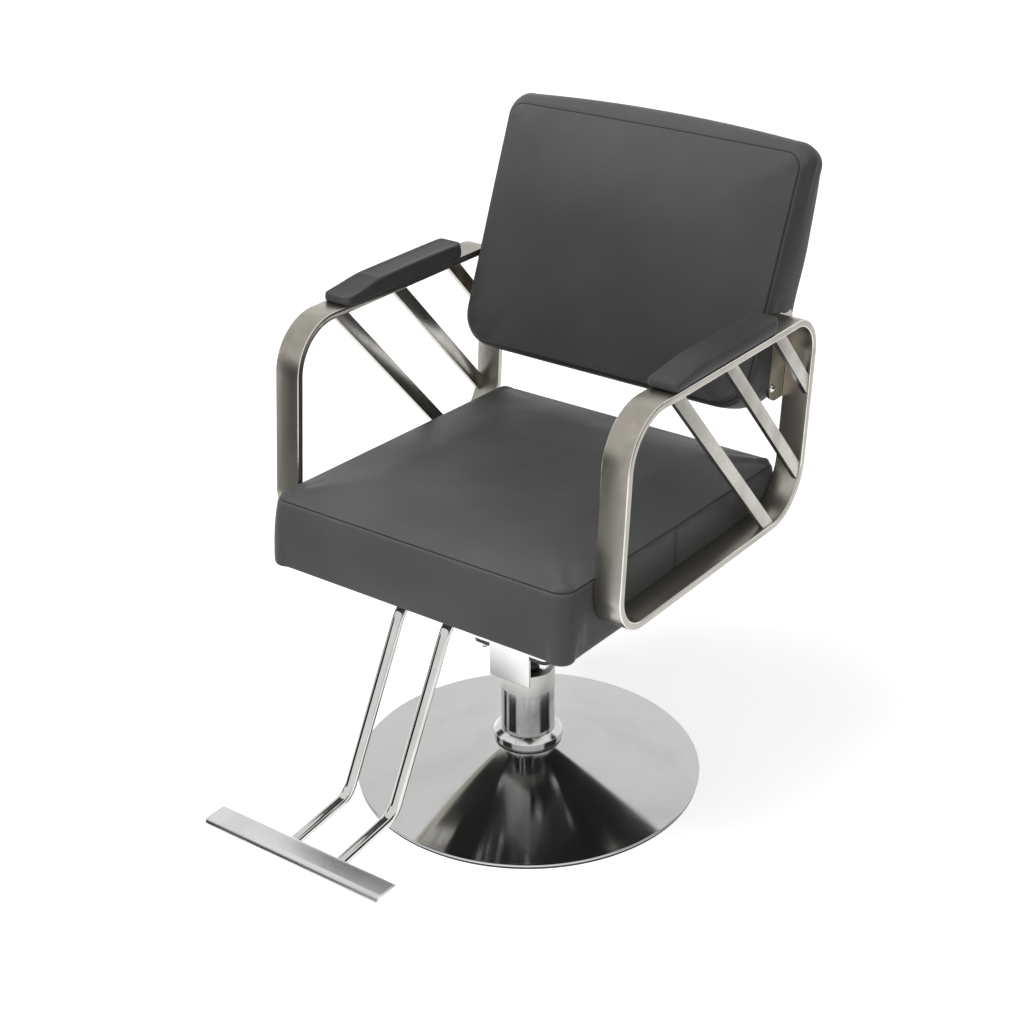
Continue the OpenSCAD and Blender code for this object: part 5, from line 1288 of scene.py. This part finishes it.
def seat_dome(u, v):
    """Rise of the seat top over its seam: a quick roll at the edge and a long low crown."""
    near = min(seat_half[0] - abs(u), seat_half[1] - abs(v))
    long_rise = (1 - (abs(u) / seat_half[0]) ** 2.6) * (1 - (abs(v) / seat_half[1]) ** 2.6)
    return seat_roll * rolled(near, 0.012) + (seat_crown - seat_roll) * long_rise


def seat_shape(point, kind):
    """A point of the seat cover before it is puffed up."""
    if kind[0] == "side":
        inset, z, share = seat_rows[kind[1]]
        inset -= seat_fill * share * 2 * abs(point[2] * point[3])
        x, y = point[0] - point[2] * inset, point[1] - point[3] * inset
    elif kind[0] == "front":
        x = point[0] * (1 - seat_shrink / seat_half[0])
        y = point[1] * (1 - seat_shrink / seat_half[1])
        z = seat_side - 0.0003 + seat_dome(*point)
    else:
        x, y, z = point[0] * 0.975, point[1] * 0.975, 0.0
    return seat_place @ Vector((x, y + seat_mid, z))


seat_back_turn = seat_place.inverted()


def seat_room(p):
    """Keeps the seat cover between the arms, above its board's underside and below its crown."""
    q = seat_back_turn @ p
    if q.y > loop_low_front.x - 0.012:
        q.x = max(-seat_half[0] + 0.0002, min(seat_half[0] - 0.0002, q.x))
    q.y = max(-seat_half[1] - 0.006, min(seat_half[1] + 0.006, q.y - seat_mid)) + seat_mid
    q.z = max(-0.0034, min(seat_side + seat_crown + 0.004, q.z))
    return seat_place @ q


seat_mesh = sew_case("seat_cover", seat_case, seat_shape, 4.0, 0.009, held_by(seat_rows, 2),
                     seat_room)


def push_in(mesh, depth_of):
    """Pushes each point of a cover inwards along its normal by the depth at its place."""
    normals = [n.vector.copy() for n in mesh.vertex_normals]
    moved = []
    for vert, normal in zip(mesh.vertices, normals):
        moved.extend(vert.co - normal * depth_of(vert.co))
    mesh.vertices.foreach_set("co", moved)
    mesh.update()


seat_side_seam_y = -0.005 - seat_mid
seat_smooth = subdivided(seat_mesh)


def seat_folds(place):
    """Depth of the creases of a sewn cover: puckers at the corners, side seams, drawn sides."""
    q = seat_back_turn @ place
    u, v, z = q.x, q.y - seat_mid, q.z
    push = 0.0
    # Vertical seam half way along each side panel
    if abs(u) > seat_half[0] - 0.006 and 0.004 < z < 0.0925:
        for depth, width in ((0.0016, 0.0022), (0.0012, 0.014)):
            push += depth * math.exp(-((v - seat_side_seam_y) / width) ** 2)
    # Puckers that run out from each top corner
    if z > seat_side - 0.004:
        push += puckers(abs(u) - seat_half[0] + 0.020, abs(v) - seat_half[1] + 0.020,
                        ((0.35, 0.0016), (1.25, 0.0014)), 0.030)
    # Gentle pulls below the seam on the side panels
    elif 0.03 < z < 0.0915:
        fall = smooth_step((z - 0.03) / 0.05)
        if abs(u) > seat_half[0] - 0.01:
            push += 0.00045 * fall * (0.5 + 0.5 * math.sin(v * 150 + 1.7 * math.sin(v * 41)))
        if abs(v) > seat_half[1] - 0.01:
            push += 0.00035 * fall * (0.5 + 0.5 * math.sin(u * 130 + 2.1 * math.sin(u * 37)))
    return push


push_in(seat_smooth, seat_folds)
seat_smooth.materials.append(grey_leather)
seat_piece = link_mesh("seat_cover", seat_smooth, "seat", "grey_leather", "seat_cushion",
                       smooth=70)


def seat_outward(p):
    """Outward direction of the seat's side at a place."""
    q = seat_back_turn @ p
    u, v = q.x, q.y - seat_mid
    du = max(0.0, abs(u) - (seat_half[0] - seat_corner))
    dv = max(0.0, abs(v) - (seat_half[1] - seat_corner))
    n = Vector((math.copysign(du, u), math.copysign(dv, v), 0.018))
    return (seat_place.to_3x3() @ n).normalized()


lay_stitches("seat_seam_stitches", seam_of(seat_mesh, seat_case, seat_outward), seat_outward,
             "seat")

side_seam_top, side_seam_foot = 0.0885, 0.008
for side, letter in ((-1, "l"), (1, "r")):
    upright = [seat_place @ Vector((side * (seat_half[0] + 0.0002), seat_side_seam_y + seat_mid, z))
               for z in (side_seam_top, (side_seam_top + side_seam_foot) / 2, side_seam_foot)]
    lay_stitches("seat_side_stitches_" + letter, upright,
                 lambda p, side=side: Vector((side, 0, 0)), "seat", closed=False)

# ---------------------------------------------------------------------------------------------
# Back cushion
# A wedge of foam on a wooden frame, thick at its foot and thin at its head. The front panel is
# sewn to the side panel with a seam that runs round just behind its edge.
back_place = (Matrix.Translation((0, 0.1522, 0.5674))
              @ Matrix.Rotation(-math.radians(22.94), 4, "X"))
back_half_w, back_tall = 0.2397, 0.3549
back_deep, back_thin, back_crown = 0.1105, 0.0584, 0.013
back_foot, back_head, back_arch = 0.020, 0.011, 0.010
back_set, back_fill, back_bulge = 0.0085, 0.0030, 0.0050
plate_proud = 0.0015
back_rows = [(0.0062, 0.014, 0, 0, 0.2), (0.0064, 0.055, 0, 0.02, 0.2),
             (0.0028, 0.058, 0, 0.06, 0.2), (0.0014, 0.095, 0, 0.2, 0.3),
             (0.0004, 0.15, 0, 0.42, 0.5), (0.0, 0.22, 0, 0.66, 0.75), (0.0, 0.31, 0, 0.82, 0.9),
             (0.0, 0.41, 0, 0.94, 0.97), (0.0, 0.50, 0, 1.0, 1.0), (0.0, 0.60, 0.05, 1.0, 1.0),
             (0.0, 0.70, 0.12, 1.0, 0.95), (0.0003, 0.79, 0.22, 0.97, 0.86),
             (0.0006, 0.87, 0.38, 0.9, 0.68), (0.0010, 0.93, 0.53, 0.82, 0.52),
             (0.0018, 0.97, 0.76, 0.68, 0.3), (0.0030, 1.0, 1.0, 0.5, 0.1)]
back_corner, back_low_corner, back_roll, back_inset = 0.027, 0.050, 0.0035, 0.0072
back_case = Panels(back_half_w, back_tall / 2,
                   [back_corner, back_corner, back_low_corner, back_low_corner], len(back_rows))


def back_thickness(v):
    """Thickness of the wedge at a height along its slope."""
    return back_deep - (back_deep - back_thin) / back_tall * v


def back_shape(point, kind):
    """A point of the back cover before it is puffed up."""
    u, v = point[0], point[1]
    if kind[0] == "side":
        inset, depth, foot, head, arch = back_rows[kind[1]]
        if v > 0:
            inset -= back_fill * smooth_step(depth / 0.5) * 2 * abs(point[2] * point[3])
        u, v = u - point[2] * inset, v - point[3] * inset
        u += (point[2] * back_bulge * smooth_step(depth / 0.6)
              * smooth_step((v + back_tall / 2 - 0.13) / 0.10))
        crown = 0.0
    elif kind[0] == "front":
        depth, foot, head, arch = 0.0, 0.0, 0.0, 0.2
        near = min(back_half_w - abs(u), back_tall / 2 - abs(v))
        long_rise = (1 - (abs(u) / back_half_w) ** 2.4) * (1 - (abs(v) / (back_tall / 2)) ** 2.2)
        crown = back_roll * rolled(near, 0.011) + (back_crown - back_roll) * long_rise
        u *= 1 - back_inset / back_half_w
        v *= 1 - back_inset / (back_tall / 2)
    else:
        depth, foot, head, arch = 1.0, 1.0, 0.5, 0.1
        u, v = u * 0.97, v * 0.97
        crown = 0.0
    low_v = foot * back_foot
    high_v = back_tall + head * back_head
    share = v / (back_tall / 2)
    lift = arch * back_arch * (1 - (u / back_half_w) ** 2) * max(0.0, share) ** 6
    tall = (low_v + high_v) / 2 + share * (high_v - low_v) / 2 + lift
    deep = back_set + depth * (back_thickness(tall) - back_set)
    if kind[0] == "rear":
        # The rear cover plate stands a little out of the padded panel round it
        deep -= plate_proud
    return back_place @ Vector((u, deep - crown, tall))


back_turn = back_place.inverted()


def back_room(p):
    """Keeps the back cover between the arms and within its depth."""
    q = back_turn @ p
    if q.z < 0.15:
        q.x = max(-back_half_w + 0.0003, min(back_half_w - 0.0003, q.x))
    q.y = max(-back_crown, min(back_thickness(q.z), q.y))
    return back_place @ q


back_mesh = sew_case("back_cover_front", back_case, back_shape, 4.0, 0.009,
                     held_by(back_rows, 3), back_room)
back_smooth = subdivided(back_mesh)


def back_folds(place):
    """Depth of the puckers at the corners of the front panel, and of the soft waves behind."""
    q = back_turn @ place
    u, v, d = q.x, q.z - back_tall / 2, q.y
    du, dv = abs(u) - (back_half_w - 0.022), abs(v) - (back_tall / 2 - 0.022)
    if d < back_set + 0.004:
        return puckers(du, dv, ((0.4, 0.0013), (1.2, 0.0012)), 0.026)
    fade = math.exp(-(math.hypot(du, dv) / 0.045) ** 2)
    return 0.0008 * fade * (0.5 + 0.5 * math.sin(d * 420 + u * 9))


push_in(back_smooth, back_folds)


def back_outward(p):
    """Outward direction of the back's side at a place."""
    q = back_turn @ p
    u, v = q.x, q.z - back_tall / 2
    du = max(0.0, abs(u) - (back_half_w - back_corner))
    dv = max(0.0, abs(v) - (back_tall / 2 - back_corner))
    n = Vector((math.copysign(du, u), -0.022, math.copysign(dv, v)))
    return (back_place.to_3x3() @ n).normalized()


lay_stitches("back_seam_stitches", seam_of(back_mesh, back_case, back_outward), back_outward,
             "seat", 0.0036, 0.0038)
back_smooth.materials.append(grey_leather)
back_piece = link_mesh("back_cover_front", back_smooth, "seat", "grey_leather", "back_cushion",
                       smooth=70)
dress(back_cover=grey_leather)

# ---------------------------------------------------------------------------------------------
# Arm pads
# Foam on a thin board, under the same leather, screwed down through the band from below. Each is
# thin at its front end, and its cover is gathered under its edges.
pad_x, pad_y, pad_half = 0.258, 0.050, (0.021, 0.128)
pad_front_t, pad_back_t, pad_ramp, pad_crown = 0.013, 0.021, 0.080, 0.0018
band_fall = math.atan(loop_fall / loop_l)
pad_place = (Matrix.Translation((0, pad_y, loop_high_front.y
                                 - (pad_y - loop_high_front.x) * math.tan(band_fall)))
             @ Matrix.Rotation(-band_fall, 4, "X"))
pad_rows = [(0.0008, 0.985), (-0.0004, 0.95), (-0.0010, 0.86), (-0.0015, 0.70), (-0.0018, 0.52),
            (-0.0018, 0.36), (-0.0014, 0.22), (-0.0007, 0.12), (0.0002, 0.05), (0.0014, 0.0)]


def pad_deep(y):
    """Thickness of a pad along its length."""
    return pad_front_t + (pad_back_t - pad_front_t) * smooth_step(
        (y + pad_half[1] + 0.002) / pad_ramp)


for side, letter in ((-1, "l"), (1, "r")):
    pad_case = Panels(pad_half[0], pad_half[1], [0.013, 0.013, 0.006, 0.006], len(pad_rows),
                      0.002, 0.004, 0.010)

    def pad_shape(point, kind):
        """A point of a pad's cover before it is puffed up."""
        if kind[0] == "side":
            inset, share = pad_rows[kind[1]]
            u, v = point[0] - point[2] * inset, point[1] - point[3] * inset
            z = share * pad_deep(v)
        elif kind[0] == "front":
            u, v = point[0] * 0.965, point[1] * 0.994
            near = min(pad_half[0] - abs(point[0]), pad_half[1] - abs(point[1]))
            z = pad_deep(v) - 0.0002 + pad_crown * rolled(near, 0.016)
        else:
            u, v, z = point[0] * 0.88, point[1] * 0.98, 0.0
        return pad_place @ Vector((side * (pad_x + u), v, z + 0.0002))

    pad_mesh = sew_case("pad_cover_" + letter, pad_case, pad_shape, 4.0, 0.002,
                        lambda kind: 1.0 if kind in (("rear", 0), ("side", 9)) else 0.05,
                        lambda p: p)
    pad_smooth = subdivided(pad_mesh)
    pad_turn = pad_place.inverted()

    def pad_gathers(place):
        """Depth of the small gathers under a pad's edge, deeper at its ends."""
        q = pad_turn @ place
        share = q.z / pad_deep(q.y)
        if share > 0.6:
            return 0.0
        gather = (1 - smooth_step(share / 0.6)) * (
            0.35 + 0.65 * smooth_step((abs(q.y) - 0.085) / 0.03))
        along = q.y * 900 if abs(q.y) < pad_half[1] - 0.004 else q.x * 1100
        return 0.0007 * gather * (0.5 + 0.5 * math.sin(along))

    push_in(pad_smooth, pad_gathers)
    pad_smooth.materials.append(grey_leather)
    if side < 0:
        pad_smooth.flip_normals()
    pad_piece = link_mesh("pad_cover_" + letter, pad_smooth, "seat", "grey_leather",
                          "arm_pad_" + letter, smooth=70)
